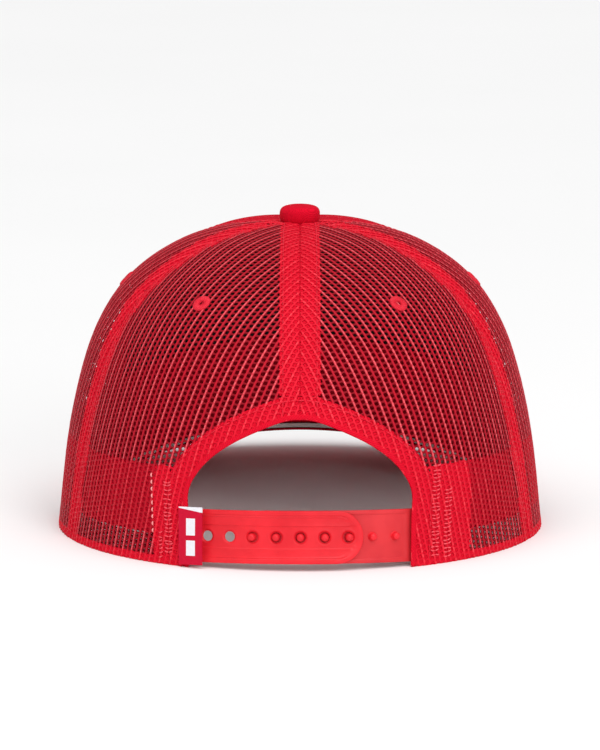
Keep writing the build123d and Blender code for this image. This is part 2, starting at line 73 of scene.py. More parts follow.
# ------------------------------------------------------------------ the crown's surface
def crown_rows(z):
    """half width, centre y, half length at heights z"""
    z = np.asarray(z, float)
    n = len(CROWN)
    i = np.clip(np.searchsorted(CROWN[:, 0], z, side="right") - 1, 0, n - 2)
    p = [CROWN[np.clip(i + k, 0, n - 1)] for k in (-1, 0, 1, 2)]
    h = (p[2][..., 0] - p[1][..., 0])
    t = (z - p[1][..., 0]) / h
    out = []
    for c in (1, 2, 3):
        m1 = (p[2][..., c] - p[0][..., c]) / (p[2][..., 0] - p[0][..., 0]) * h
        m2 = (p[3][..., c] - p[1][..., c]) / (p[3][..., 0] - p[1][..., 0]) * h
        t2, t3 = t * t, t * t * t
        out.append(p[1][..., c] * (2 * t3 - 3 * t2 + 1) + m1 * (t3 - 2 * t2 + t) + p[2][..., c] * (3 * t2 - 2 * t3) + m2 * (t3 - t2))
    a, f, r = out
    return a, (f + r) / 2, (r - f) / 2


# meridian table: T runs from below the hem to the apex
_z = np.concatenate([np.linspace(-3, 86, 300), np.linspace(86, 106, 160)[1:], np.linspace(106, 111.4, 160)[1:]])
_a, _yc, _b = crown_rows(_z)
_f = np.linspace(1, 0.12, 60)[1:]
TZ = np.concatenate([_z, np.full(len(_f), 111.4) + 0.12 * (1 - _f)])
TA = np.concatenate([_a, _a[-1] * _f])
TB = np.concatenate([_b, _b[-1] * _f])
TC = np.concatenate([_yc, APEX_Y + (_yc[-1] - APEX_Y) * _f])
TN = len(TZ)


def table_at(T):
    T = np.clip(T, 0, TN - 1.001)
    i = T.astype(int)
    w = T - i
    g = lambda q: q[i] * (1 - w) + q[i + 1] * w
    return g(TA), g(TB), g(TC), g(TZ)


def T_of_z(z):
    return np.interp(z, TZ[:len(_z)], np.arange(len(_z)))


def base_point(az, T):
    """az in radians from the rear, towards +X"""
    a, b, c, z = table_at(T)
    s, k = np.sin(az), np.cos(az)
    qa = (s / a) ** 2 + (k / b) ** 2
    qb = 2 * k * (APEX_Y - c) / b ** 2
    qc = ((APEX_Y - c) / b) ** 2 - 1
    r = (-qb + np.sqrt(np.maximum(qb * qb - 4 * qa * qc, 0))) / (2 * qa)
    return np.stack([s * r, APEX_Y + k * r, z], -1)


def unit(v):
    return v / np.maximum(np.linalg.norm(v, axis=-1, keepdims=True), 1e-9)


def base_normal(az, T):
    dT, da = 2.0, 0.02
    up = base_point(az, np.minimum(T + dT, TN - 1.01)) - base_point(az, T - dT)
    along = base_point(az + da, T) - base_point(az - da, T)
    n = np.cross(along, up)
    n = unit(n)
    p = base_point(az, T)
    out = p - np.array([0, APEX_Y, 40.0])
    return np.where((n * out).sum(-1, keepdims=True) < 0, -n, n)


SEAMS = np.radians([0, REAR_SEAM, FRONT_SEAM, 180, 360 - FRONT_SEAM, 360 - REAR_SEAM, 360])


def swell(az, T, p):
    """Panels belly out between their seams, and the seams draw in a little."""
    a = np.mod(az, 2 * math.pi)
    i = np.clip(np.searchsorted(SEAMS, a, side="right") - 1, 0, 5)
    lo, hi = SEAMS[i], SEAMS[i + 1]
    x = np.clip((a - lo) / (hi - lo) * 2 - 1, -1, 1)
    r = np.hypot(p[..., 0], p[..., 1] - APEX_Y)
    d = (1 - np.abs(x)) * (hi - lo) / 2 * r
    rise = np.clip(p[..., 2] / 45.0, 0, 1)
    rise = rise * rise * (3 - 2 * rise)
    fall = np.clip(r / 40.0, 0, 1)
    belly = (1 - x * x) * rise * fall * np.where((i == 0) | (i == 5), 1.3, 1.5)
    dip = np.exp(-(d / 1.5) ** 2) * 0.30 * np.clip(r / 14, 0, 1)
    return belly - dip


def surf(az, T, off=0.0, swollen=True):
    p, n = base_point(az, T), base_normal(az, T)
    o = off + (swell(az, T, p) if swollen else 0.0)
    return p + n * (o[..., None] if isinstance(o, np.ndarray) else o)


# ------------------------------------------------------------------ hem line and brim surface
def brim_z(x, lift):
    r = BRIM_R + lift
    return BRIM_RISE - BRIM_R + np.sqrt(np.maximum(r * r - x * x, 0))


def brim_height(x, y, lift):
    return BRIM_LIFT + brim_z(x, lift) / math.cos(TILT) + (y + 75.0) * math.tan(TILT)


TOP_R = float(brim_z(80.0, BRIM_T) + BRIM_LIFT + 32.0 * math.tan(TILT))


def hem_z(x, y):
    t = np.clip(-y / 43.0, 0, 1)
    side = TOP_R * (t * t * (3 - 2 * t) * 0.86 + t * 0.14 * t)
    return np.where(y < -43.0, brim_height(x, y, BRIM_T), np.where(y < 0, side, 0.0))


def hem_T(az):
    z = np.zeros_like(az)
    for _ in range(8):
        p = base_point(az, T_of_z(z))
        z = hem_z(p[..., 0], p[..., 1])
    return T_of_z(z)


def smooth_curve(points, n):
    """points of a Catmull-Rom curve through the given points, evenly spaced"""
    P = np.array(points, float)
    E = np.vstack([2 * P[0] - P[1], P, 2 * P[-1] - P[-2]])
    out = []
    for i in range(1, len(E) - 2):
        t = np.linspace(0, 1, 24, endpoint=False)[:, None]
        a, b, c, d = E[i - 1], E[i], E[i + 1], E[i + 2]
        out.append(0.5 * (2 * b + (c - a) * t + (2 * a - 5 * b + 4 * c - d) * t ** 2 + (3 * b - a - 3 * c + d) * t ** 3))
    Q = np.vstack(out + [P[-1:]])
    s = np.concatenate([[0], np.cumsum(np.linalg.norm(np.diff(Q, axis=0), axis=1))])
    u = np.linspace(0, s[-1], n)
    return np.stack([np.interp(u, s, Q[:, k]) for k in range(Q.shape[1])], -1)


# the rear opening's outline, x and z, from the left foot over the top to the right foot
_right = [(39.25, -4.0), (39.25, 6.0), (39.25, 18.0)] + ARCH
OUTLINE = smooth_curve(_right + [(-x, z) for x, z in reversed(_right[:-1])], 400)
_tan = unit(np.gradient(OUTLINE, axis=0))
OUT_N = np.stack([_tan[:, 1], -_tan[:, 0]], -1)
if OUT_N[0, 0] < 0:
    OUT_N = -OUT_N


def arch_distance(x, z):
    """signed distance outside the rear opening's outline, and the nearest outline point, in the view from behind"""
    q = np.stack([x, z], -1)
    flat = q.reshape(-1, 2)
    d2 = ((flat[:, None, :] - OUTLINE[None, :, :]) ** 2).sum(-1)
    k = d2.argmin(1)
    near = OUTLINE[k]
    s = ((flat - near) * OUT_N[k]).sum(-1)
    return s.reshape(x.shape), near.reshape(q.shape), OUT_N[k].reshape(q.shape)


def az_T_of_xz(x, z, swollen=True):
    """azimuth and T of the rear point seen at x, z from straight behind"""
    T = T_of_z(z)
    a, b, c, _ = table_at(T)
    y = c + b * np.sqrt(np.maximum(1 - (x / a) ** 2, 0))
    return np.arctan2(x, y - APEX_Y), T


# ------------------------------------------------------------------ meshes
ROOT = bpy.context.scene.collection


def make(name, verts, faces, mat, uv=None, smooth=True, sharp=None):
    me = bpy.data.meshes.new(name)
    verts = np.array(verts, float) * MM
    verts[:, 2] = np.where(verts[:, 2] < 0, verts[:, 2] * 0.05, verts[:, 2])  # nothing below the hem's plane
    if isinstance(faces, np.ndarray):
        faces = faces.tolist()
    me.from_pydata(verts.tolist(), [], faces)
    if uv is not None:
        layer = me.uv_layers.new(name="grain")
        idx = np.zeros(len(me.loops), int)
        me.loops.foreach_get("vertex_index", idx)
        layer.data.foreach_set("uv", np.asarray(uv, float)[idx].ravel())
    me.validate()
    if smooth:
        me.polygons.foreach_set("use_smooth", [True] * len(me.polygons))
    if sharp:
        me.set_sharp_from_angle(angle=math.radians(sharp))
    me.materials.append(mat)
    me.update()
    ob = bpy.data.objects.new(name, me)
    ROOT.objects.link(ob)
    return ob


def outward(ob, reference=None):
    """faces turned so that their normals agree"""
    import bmesh
    bm = bmesh.new()
    bm.from_mesh(ob.data)
    bmesh.ops.recalc_face_normals(bm, faces=bm.faces)
    bm.to_mesh(ob.data)
    bm.free()
    return ob


def grid_faces(nu, nv, mask=None):
    i, j = np.meshgrid(np.arange(nu - 1), np.arange(nv - 1), indexing="ij")
    f = np.stack([i * nv + j, (i + 1) * nv + j, (i + 1) * nv + j + 1, i * nv + j + 1], -1)
    if mask is not None:
        return f[mask]
    return f.reshape(-1, 4)


def close_layers(top, bottom, faces):
    """A solid from two layers of the same grid: the edges used once are walled."""
    n = len(top)
    verts = np.vstack([top, bottom])
    edges = {}
    for q in faces.tolist():
        m = len(q)
        for k in range(m):
            e = (q[k], q[(k + 1) % m])
            key = (min(e), max(e))
            if key in edges:
                edges[key] = None
            else:
                edges[key] = e
    walls = [(e[1], e[0], e[0] + n, e[1] + n) for e in edges.values() if e]
    allf = faces.tolist() + [[v + n for v in reversed(q)] for q in faces.tolist()] + [list(w) for w in walls]
    return verts, allf


def solid_patch(name, P, N, thick, mat, uv=None, round_edge=0.0, sharp=40):
    """A sheet from a grid of points P (nu, nv, 3), its back moved along -N; round_edge is not used, so the rims are not
    softened.
    """
    nu, nv = P.shape[:2]
    top, bot = P.reshape(-1, 3), (P - N * thick).reshape(-1, 3)
    f = grid_faces(nu, nv)
    verts, faces = close_layers(top, bot, f)
    u = None if uv is None else np.vstack([uv.reshape(-1, 2)] * 2)
    ob = make(name, verts, faces, mat, uv=u, sharp=sharp)
    return outward(ob)


def ribbon(name, path, nrm, width_dir, profile, mat, closed=False, sharp=None, caps=True):
    """A closed profile (list of (across, out)) swept along a path with given frames."""
    path, nrm, width_dir = np.asarray(path), np.asarray(nrm), np.asarray(width_dir)
    pr = np.asarray(profile, float)
    n, m = len(path), len(pr)
    V = path[:, None, :] + width_dir[:, None, :] * pr[None, :, 0, None] + nrm[:, None, :] * pr[None, :, 1, None]
    faces = []
    for i in range(n - 1 if not closed else n):
        a, b = i * m, ((i + 1) % n) * m
        for k in range(m):
            k2 = (k + 1) % m
            faces.append([a + k, a + k2, b + k2, b + k])
    if caps and not closed:
        faces.append(list(range(m))[::-1])
        faces.append([(n - 1) * m + k for k in range(m)])
    s = np.concatenate([[0], np.cumsum(np.linalg.norm(np.diff(path, axis=0), axis=1))])
    uv = np.stack([np.repeat(pr[None, :, 0], n, 0).ravel(), np.repeat(s[:, None], m, 1).ravel()], -1)
    return outward(make(name, V.reshape(-1, 3), faces, mat, uv=uv, sharp=sharp))


def round_profile(w, t, n=10, flat=0.0):
    """rounded bar w wide and t thick about (0, 0)"""
    r = t / 2
    pts = []
    for k in range(n + 1):
        a = -math.pi / 2 + math.pi * k / n
        pts.append((w / 2 - r + r * math.cos(a), r * math.sin(a)))
    for k in range(n + 1):
        a = math.pi / 2 + math.pi * k / n
        pts.append((-w / 2 + r + r * math.cos(a), r * math.sin(a)))
    return pts


def stitches(name, rows, mat, body="cap", length=2.5, gap=0.55, width=0.5, height=0.34, sink=0.06):
    """Lock stitches: short arched threads along each row of (points, normals)."""
    verts, faces = [], []
    ring = 6
    for pts, nrm in rows:
        pts, nrm = np.asarray(pts), np.asarray(nrm)
        s = np.concatenate([[0], np.cumsum(np.linalg.norm(np.diff(pts, axis=0), axis=1))])
        count = int((s[-1]) // (length + gap))
        for k in range(count):
            c = np.linspace(k * (length + gap), k * (length + gap) + length, 6)
            P = np.stack([np.interp(c, s, pts[:, q]) for q in range(3)], -1)
            Nn = unit(np.stack([np.interp(c, s, nrm[:, q]) for q in range(3)], -1))
            T = unit(np.gradient(P, axis=0))
            B = np.cross(T, Nn)
            arch = np.array([-0.45, 0.1, 0.3, 0.3, 0.1, -0.45]) * height
            fat = np.array([0.45, 0.9, 1, 1, 0.9, 0.45])
            base = len(verts)
            for q in range(6):
                for a in range(ring):
                    ang = 2 * math.pi * a / ring
                    verts.append(P[q] + Nn[q] * (arch[q] - sink + math.sin(ang) * height / 2 * fat[q]) + B[q] * math.cos(ang) * width / 2 * fat[q])
            for q in range(5):
                for a in range(ring):
                    a2 = (a + 1) % ring
                    faces.append([base + q * ring + a, base + q * ring + a2, base + (q + 1) * ring + a2, base + (q + 1) * ring + a])
            faces.append([base + a for a in range(ring)][::-1])
            faces.append([base + 5 * ring + a for a in range(ring)])
    ob = outward(make(name, verts, faces, mat))
    return ob


# ------------------------------------------------------------------ materials
def new_material(name):
    m = bpy.data.materials.new(name)
    m.use_nodes = True
    nt = m.node_tree
    nt.nodes.clear()
    out = nt.nodes.new("ShaderNodeOutputMaterial")
    bsdf = nt.nodes.new("ShaderNodeBsdfPrincipled")
    nt.links.new(bsdf.outputs[0], out.inputs[0])
    return m, nt, bsdf


def node(nt, kind, **props):
    n = nt.nodes.new(kind)
    for k, v in props.items():
        if k == "inputs":
            for key, val in v.items():
                n.inputs[key].default_value = val
        else:
            setattr(n, k, v)
    return n


def mixed(nt, fac, a, b):
    m = node(nt, "ShaderNodeMix", data_type="RGBA")
    for s, v in ((m.inputs[6], a), (m.inputs[7], b)):
        if isinstance(v, tuple):
            s.default_value = (*v, 1)
        else:
            nt.links.new(v, s)
    if isinstance(fac, (int, float)):
        m.inputs[0].default_value = fac
    else:
        nt.links.new(fac, m.inputs[0])
    return m.outputs[2]


def ramp(nt, src, lo, hi, a=0.0, b=1.0):
    r = node(nt, "ShaderNodeMapRange", inputs={"From Min": lo, "From Max": hi, "To Min": a, "To Max": b})
    nt.links.new(src, r.inputs["Value"])
    return r.outputs[0]


def maths(nt, op, a, b=None):
    m = node(nt, "ShaderNodeMath", operation=op)
    for s, v in ((m.inputs[0], a), (m.inputs[1], b)):
        if v is None:
            continue
        if isinstance(v, (int, float)):
            s.default_value = v
        else:
            nt.links.new(v, s)
    return m.outputs[0]


def finish_bump(nt, bsdf, height, strength, distance):
    b = node(nt, "ShaderNodeBump", inputs={"Strength": strength, "Distance": distance})
    nt.links.new(height, b.inputs["Height"])
    nt.links.new(b.outputs[0], bsdf.inputs["Normal"])


def coords(nt, kind, scale):
    if kind == "uv":
        c = node(nt, "ShaderNodeUVMap", uv_map="grain").outputs[0]
    else:
        c = node(nt, "ShaderNodeTexCoord").outputs["Object"]
    m = node(nt, "ShaderNodeMapping", inputs={"Scale": scale})
    nt.links.new(c, m.inputs["Vector"])
    return m.outputs[0]


def noise(nt, vec, scale, detail=3.0, rough=0.6):
    n = node(nt, "ShaderNodeTexNoise", inputs={"Scale": scale, "Detail": detail, "Roughness": rough})
    nt.links.new(vec, n.inputs["Vector"])
    return n.outputs[0]


def twill(name, dark, light, pitch=0.55, angle=60.0, strength=0.6, sheen=0.0, rough=(0.72, 0.9), uv=True):
    """Woven cloth with a diagonal rib. UVs are in millimetres; without them the object's own axes are used."""
    m, nt, bsdf = new_material(name)
    c = coords(nt, "uv" if uv else "object", (1, 1, 1) if uv else (1000, 1000, 1000))
    w = node(nt, "ShaderNodeTexWave", wave_type="BANDS", bands_direction="X", inputs={"Scale": 0.314 / pitch, "Distortion": 0.6, "Detail": 2.0, "Detail Scale": 1.5})
    rot = node(nt, "ShaderNodeMapping", inputs={"Rotation": (0, 0, math.radians(angle))})
    nt.links.new(c, rot.inputs["Vector"])
    nt.links.new(rot.outputs[0], w.inputs["Vector"])
    w2 = node(nt, "ShaderNodeTexWave", wave_type="BANDS", bands_direction="Y", inputs={"Scale": 0.314 / (pitch * 0.8), "Distortion": 0.8, "Detail": 1.0})
    nt.links.new(c, w2.inputs["Vector"])
    height = maths(nt, "ADD", maths(nt, "MULTIPLY", w.outputs[1], 0.7), maths(nt, "MULTIPLY", w2.outputs[1], 0.3))
    big = noise(nt, c, 0.035, 4.0)
    fine = noise(nt, c, 1.6, 3.0)
    fac = maths(nt, "ADD", maths(nt, "MULTIPLY", height, 0.55), maths(nt, "MULTIPLY", fine, 0.30))
    fac = maths(nt, "ADD", fac, maths(nt, "MULTIPLY", big, 0.25))
    nt.links.new(mixed(nt, fac, dark, light), bsdf.inputs["Base Color"])
    nt.links.new(ramp(nt, fine, 0.3, 0.7, *rough), bsdf.inputs["Roughness"])
    bsdf.inputs["Sheen Weight"].default_value = sheen
    bsdf.inputs["Sheen Roughness"].default_value = 0.4
    bsdf.inputs["Specular IOR Level"].default_value = 0.07
    finish_bump(nt, bsdf, height, strength, 0.00022)
    return m


def yarn(name, dark, light, scale=2.2, strength=0.5, sheen=0.0, rough=(0.5, 0.75), spec=0.12, uv=True, stretch=(1, 0.35, 1)):
    """Twisted polyester thread: fine slanting filaments."""
    m, nt, bsdf = new_material(name)
    c = coords(nt, "uv" if uv else "object", stretch if uv else (1000, 1000, 1000))
    n1 = noise(nt, c, scale, 3.0)
    n2 = noise(nt, c, scale * 4.5, 2.0)
    big = noise(nt, c, 0.05, 3.0)
    fac = maths(nt, "ADD", maths(nt, "MULTIPLY", n1, 0.6), maths(nt, "MULTIPLY", big, 0.4))
    fac = ramp(nt, fac, 0.3, 0.72)
    nt.links.new(mixed(nt, fac, dark, light), bsdf.inputs["Base Color"])
    nt.links.new(ramp(nt, n2, 0.3, 0.7, *rough), bsdf.inputs["Roughness"])
    bsdf.inputs["Sheen Weight"].default_value = sheen
    bsdf.inputs["Sheen Roughness"].default_value = 0.35
    bsdf.inputs["Specular IOR Level"].default_value = spec
    finish_bump(nt, bsdf, maths(nt, "ADD", n1, maths(nt, "MULTIPLY", n2, 0.5)), strength, 0.00012)
    return m


def moulded(name, dark, light, rough=(0.34, 0.5), spec=0.5, grain=260.0, bump=0.08, sub=0.0):
    m, nt, bsdf = new_material(name)
    c = node(nt, "ShaderNodeTexCoord").outputs["Object"]
    big = noise(nt, c, 60.0, 3.0)
    fine = noise(nt, c, grain * 6, 4.0)
    scratch = node(nt, "ShaderNodeMapping", inputs={"Scale": (1.0, 1.0, 9.0)})
    nt.links.new(c, scratch.inputs["Vector"])
    s = noise(nt, scratch.outputs[0], grain, 5.0, 0.7)
    nt.links.new(mixed(nt, ramp(nt, big, 0.35, 0.65), dark, light), bsdf.inputs["Base Color"])
    nt.links.new(ramp(nt, maths(nt, "ADD", maths(nt, "MULTIPLY", s, 0.6), maths(nt, "MULTIPLY", fine, 0.4)), 0.35, 0.65, *rough), bsdf.inputs["Roughness"])
    bsdf.inputs["Specular IOR Level"].default_value = spec
    if sub:
        bsdf.inputs["Subsurface Weight"].default_value = sub
        bsdf.inputs["Subsurface Radius"].default_value = (0.004, 0.0008, 0.0006)
        bsdf.inputs["Subsurface Scale"].default_value = 0.5
    finish_bump(nt, bsdf, maths(nt, "ADD", maths(nt, "MULTIPLY", s, 0.6), fine), bump, 0.0002)
    return m


M_TAPE = twill("tape_weave", (0.46, 0.0015, 0.009), (0.82, 0.006, 0.030), pitch=0.7, angle=45, strength=0.8)
M_FRONT = twill("front_twill", (0.40, 0.0015, 0.009), (0.72, 0.005, 0.028), pitch=0.62, angle=62, strength=0.7)
M_BRIM = twill("brim_twill", (0.40, 0.0015, 0.009), (0.72, 0.005, 0.028), pitch=0.62, angle=62, strength=0.7)
# the sweatband's red is set darker than the tapes' red, partly as painted shade for where it sits behind the mesh
M_BAND = twill("sweatband_twill", (0.32, 0.0010, 0.007), (0.56, 0.003, 0.022), pitch=0.75, angle=45, strength=0.6)
M_BUTTON = twill("button_twill", (0.46, 0.0012, 0.010), (0.80, 0.003, 0.028), pitch=0.55, angle=50, strength=0.8)
M_BACK = twill("buckram", (0.010, 0.009, 0.010), (0.045, 0.040, 0.042), pitch=1.0, angle=0, strength=0.9, sheen=0.1, rough=(0.85, 0.98), uv=False)
M_THREAD = yarn("stitch_thread", (0.52, 0.003, 0.016), (0.86, 0.020, 0.050), scale=3.5, rough=(0.42, 0.62), spec=0.25, uv=False)
M_LIGHT_THREAD = yarn("tack_thread", (0.86, 0.16, 0.18), (0.98, 0.44, 0.42), scale=3.5, rough=(0.42, 0.62), spec=0.25, uv=False)
M_BAR_THREAD = yarn("bar_tack_thread", (0.74, 0.020, 0.050), (0.96, 0.14, 0.17), scale=3.5, rough=(0.42, 0.62), spec=0.25, uv=False)
M_STRAP = moulded("strap_plastic", (0.66, 0.008, 0.018), (0.80, 0.016, 0.028), rough=(0.36, 0.52), spec=0.30, sub=0.10)
M_STRAP_IN = moulded("strap_plastic_inner", (0.58, 0.018, 0.026), (0.68, 0.030, 0.038), rough=(0.40, 0.56), spec=0.30, sub=0.10)
M_BOARD = moulded("brim_board_plastic", (0.70, 0.70, 0.66), (0.86, 0.86, 0.82), rough=(0.5, 0.7))
M_STEEL = moulded("button_steel", (0.42, 0.42, 0.44), (0.60, 0.60, 0.62), rough=(0.25, 0.42))
M_STEEL.node_tree.nodes["Principled BSDF"].inputs["Metallic"].default_value = 1.0


# ------------------------------------------------------------------ open mesh panels
P_U, P_V = 2.3, 1.95


def mesh_yarn(name, painted_shade, mid, painted_highlight, patchy):
    """Polyester yarn of the open mesh: every second wale gets a painted highlight, and the bridges between are painted
    darker, partly for their thinner yarn and partly as shade.
    """
    m, nt, bsdf = new_material(name)
    uv = node(nt, "ShaderNodeUVMap", uv_map="grain").outputs[0]
    sep = node(nt, "ShaderNodeSeparateXYZ")
    nt.links.new(uv, sep.inputs[0])
    t = maths(nt, "SUBTRACT", maths(nt, "DIVIDE", sep.outputs[0], P_U), 0.5)
    strong = maths(nt, "PINGPONG", t, 1.0)
    weak = maths(nt, "PINGPONG", t, 0.5)
    row = maths(nt, "PINGPONG", maths(nt, "DIVIDE", sep.outputs[1], P_V), 0.5)
    n1 = noise(nt, uv, 2.4, 3.0)
    n2 = noise(nt, uv, 9.0, 2.0)
    n3 = noise(nt, uv, 0.30, 2.0)
    big = noise(nt, uv, 0.06, 3.0)
    wob = maths(nt, "MULTIPLY", n1, 0.08)
    # painted highlight bands along the wales: strong on every second wale, weak on the others
    strong = ramp(nt, maths(nt, "ADD", strong, wob), 0.09, 0.24, 1.0, 0.0)
    weak = ramp(nt, maths(nt, "ADD", weak, wob), 0.10, 0.26, 1.0, 0.0)
    dash = ramp(nt, maths(nt, "ADD", row, maths(nt, "MULTIPLY", n1, 0.5)), 0.32, 0.52, patchy[0], 1.0)
    dash = maths(nt, "MULTIPLY", dash, ramp(nt, n3, 0.40, 0.60, patchy[1], 1.0))
    # painted shade on the bridges, a middle tone on the weak wales, the painted highlight on the strong wales
    c_painted_shade = mixed(nt, n1, *painted_shade)
    c_mid = mixed(nt, n1, *mid)
    c_painted_highlight = mixed(nt, ramp(nt, n1, 0.35, 0.65), *painted_highlight)
    c = mixed(nt, weak, c_painted_shade, c_mid)
    c = mixed(nt, maths(nt, "MULTIPLY", strong, dash), c, c_painted_highlight)
    c = mixed(nt, ramp(nt, big, 0.3, 0.7, 0.0, 0.22), c, painted_shade[0])
    nt.links.new(c, bsdf.inputs["Base Color"])
    nt.links.new(ramp(nt, n2, 0.3, 0.7, 0.40, 0.66), bsdf.inputs["Roughness"])
    bsdf.inputs["Specular IOR Level"].default_value = 0.12
    finish_bump(nt, bsdf, maths(nt, "ADD", n1, maths(nt, "MULTIPLY", n2, 0.5)), 0.5, 0.00012)
    return m


# three copies of one yarn, with painted light and shade set by what lies behind it: the open mesh has deep painted
# shade on the bridges and strong painted highlights, the yarn over the sweatband is painted a darker flatter red, and
# the yarn over tapes, facing and hem is painted lighter with faint highlights
M_MESH_SHADED = mesh_yarn("mesh_yarn", ((0.17, 0.0008, 0.005), (0.34, 0.002, 0.012)), ((0.40, 0.003, 0.013), (0.64, 0.009, 0.030)), ((0.80, 0.035, 0.062), (0.96, 0.19, 0.21)), (0.45, 0.75))
M_MESH_BACKED_LIT = mesh_yarn("mesh_yarn_backed_lit", ((0.54, 0.0016, 0.012), (0.76, 0.004, 0.028)), ((0.62, 0.003, 0.017), (0.84, 0.010, 0.036)), ((0.84, 0.016, 0.040), (0.95, 0.085, 0.105)), (0.05, 0.10))
M_MESH_BAND_SHADED = mesh_yarn("mesh_yarn_band_shaded", ((0.36, 0.0010, 0.008), (0.50, 0.002, 0.017)), ((0.42, 0.002, 0.011), (0.60, 0.006, 0.026)), ((0.66, 0.012, 0.032), (0.84, 0.08, 0.10)), (0.25, 0.35))
HOLE_U, HOLE_V = 0.68, 0.63
MID = -0.42


class Gore:
    """Flat pattern of one panel: u across from its middle, s up from the hem, both in millimetres."""

    def __init__(self, lo, hi):
        self.lo, self.hi = math.radians(lo), math.radians(hi)
        self.mid, self.half = (self.lo + self.hi) / 2, (self.hi - self.lo) / 2
        self.T = np.arange(0, TN - 1, 2.0)
        self.a = np.linspace(-self.half - 0.10, self.half + 0.10, 121)
        A, TT = np.meshgrid(self.mid + self.a, self.T)
        G = base_point(A, TT)
        d = np.linalg.norm(np.diff(G, axis=1), axis=2)
        U = np.concatenate([np.zeros((len(self.T), 1)), np.cumsum(d, 1)], 1)
        self.U = U - U[:, 60:61]
        M = base_point(np.full(len(self.T), self.mid), self.T)
        S = np.concatenate([[0], np.cumsum(np.linalg.norm(np.diff(M, axis=0), axis=1))])
        self.S = S - np.interp(T_of_z(0.0), self.T, S)

    def at(self, u, s):
        fi = np.clip(np.interp(s, self.S, np.arange(len(self.T))), 0, len(self.T) - 1.001)
        i = fi.astype(int)
        w = fi - i
        da = self.a[1] - self.a[0]
        a = np.zeros_like(u)
        for _ in range(6):
            j = np.clip((a - self.a[0]) / da, 0, len(self.a) - 1.001)
            k = j.astype(int)
            v = j - k
            lo = self.U[i, k] * (1 - v) + self.U[i, k + 1] * v
            hi = self.U[i + 1, k] * (1 - v) + self.U[i + 1, k + 1] * v
            now = lo * (1 - w) + hi * w
            slope = ((self.U[i, k + 1] - self.U[i, k]) * (1 - w) + (self.U[i + 1, k + 1] - self.U[i + 1, k]) * w) / da
            a = np.clip(a + (u - now) / np.maximum(slope, 1e-3), self.a[0], self.a[-1])
        return self.mid + a, np.interp(s, self.S, self.T)


def cut_cloth(P):
    """works out a sewn piece's own outer face laid flat: its length across, its length along and its area; nothing is
    kept
    """
    across = np.linalg.norm(np.diff(P, axis=0), axis=-1).sum(0).max()
    along = np.linalg.norm(np.diff(P, axis=1), axis=-1).sum(1).max()
    d1, d2 = P[1:, 1:] - P[:-1, :-1], P[:-1, 1:] - P[1:, :-1]
    area = np.linalg.norm(np.cross(d1, d2), axis=-1).sum() / 2
    area = float(np.clip(area, 0.301 * across * along, across * along))


T_BUTTON = float(np.interp(-5.2, -TA, np.arange(TN)))


def clamp(g, az, T, rear, low=0.0, high=None, side_gap=0.12, arch_gap=0.1):
    """keeps pattern points between the seams, above the hem line, below the button and outside the rear opening"""
    p = base_point(az, T)
    r = np.hypot(p[..., 0], p[..., 1] - APEX_Y)
    lo, hi = g.lo + side_gap / r, g.hi - side_gap / r
    az2 = np.clip(az, np.minimum(lo, g.mid), np.maximum(hi, g.mid))
    Th = hem_T(az2)
    if low:
        Th = T_of_z(np.interp(Th, np.arange(len(_z)), _z) + low)
    T2 = np.clip(T, Th, T_BUTTON)
    if high is not None:
        T2 = np.minimum(T2, T_of_z(np.interp(hem_T(az2), np.arange(len(_z)), _z) + high))
    moved = (np.abs(az2 - az) * r > 1e-6) | (np.abs(T2 - T) > 1e-6)
    if rear:
        p = base_point(az2, T2)
        near_arch = (p[..., 1] > 0) & (np.abs(p[..., 0]) < 60) & (p[..., 2] < 75)
        idx = np.nonzero(near_arch)
        if len(idx[0]):
            x, z = p[idx][:, 0], p[idx][:, 2]
            d, q, n = arch_distance(x, z)
            inside = d < arch_gap
            qx, qz = q[:, 0] + n[:, 0] * arch_gap, np.maximum(q[:, 1] + n[:, 1] * arch_gap, 0.0)
            a3, T3 = az_T_of_xz(qx, qz)
            a3 = np.where(a3 < 0, a3 + 2 * math.pi, a3) if g.mid > math.pi else a3
            sel = tuple(k[inside] for k in idx)
            az2[sel], T2[sel] = a3[inside], T3[inside]
            moved[sel] = True
            az2 = np.clip(az2, np.minimum(g.lo + 0.1 / r, g.mid), np.maximum(g.hi - 0.1 / r, g.mid))
    return az2, T2, moved


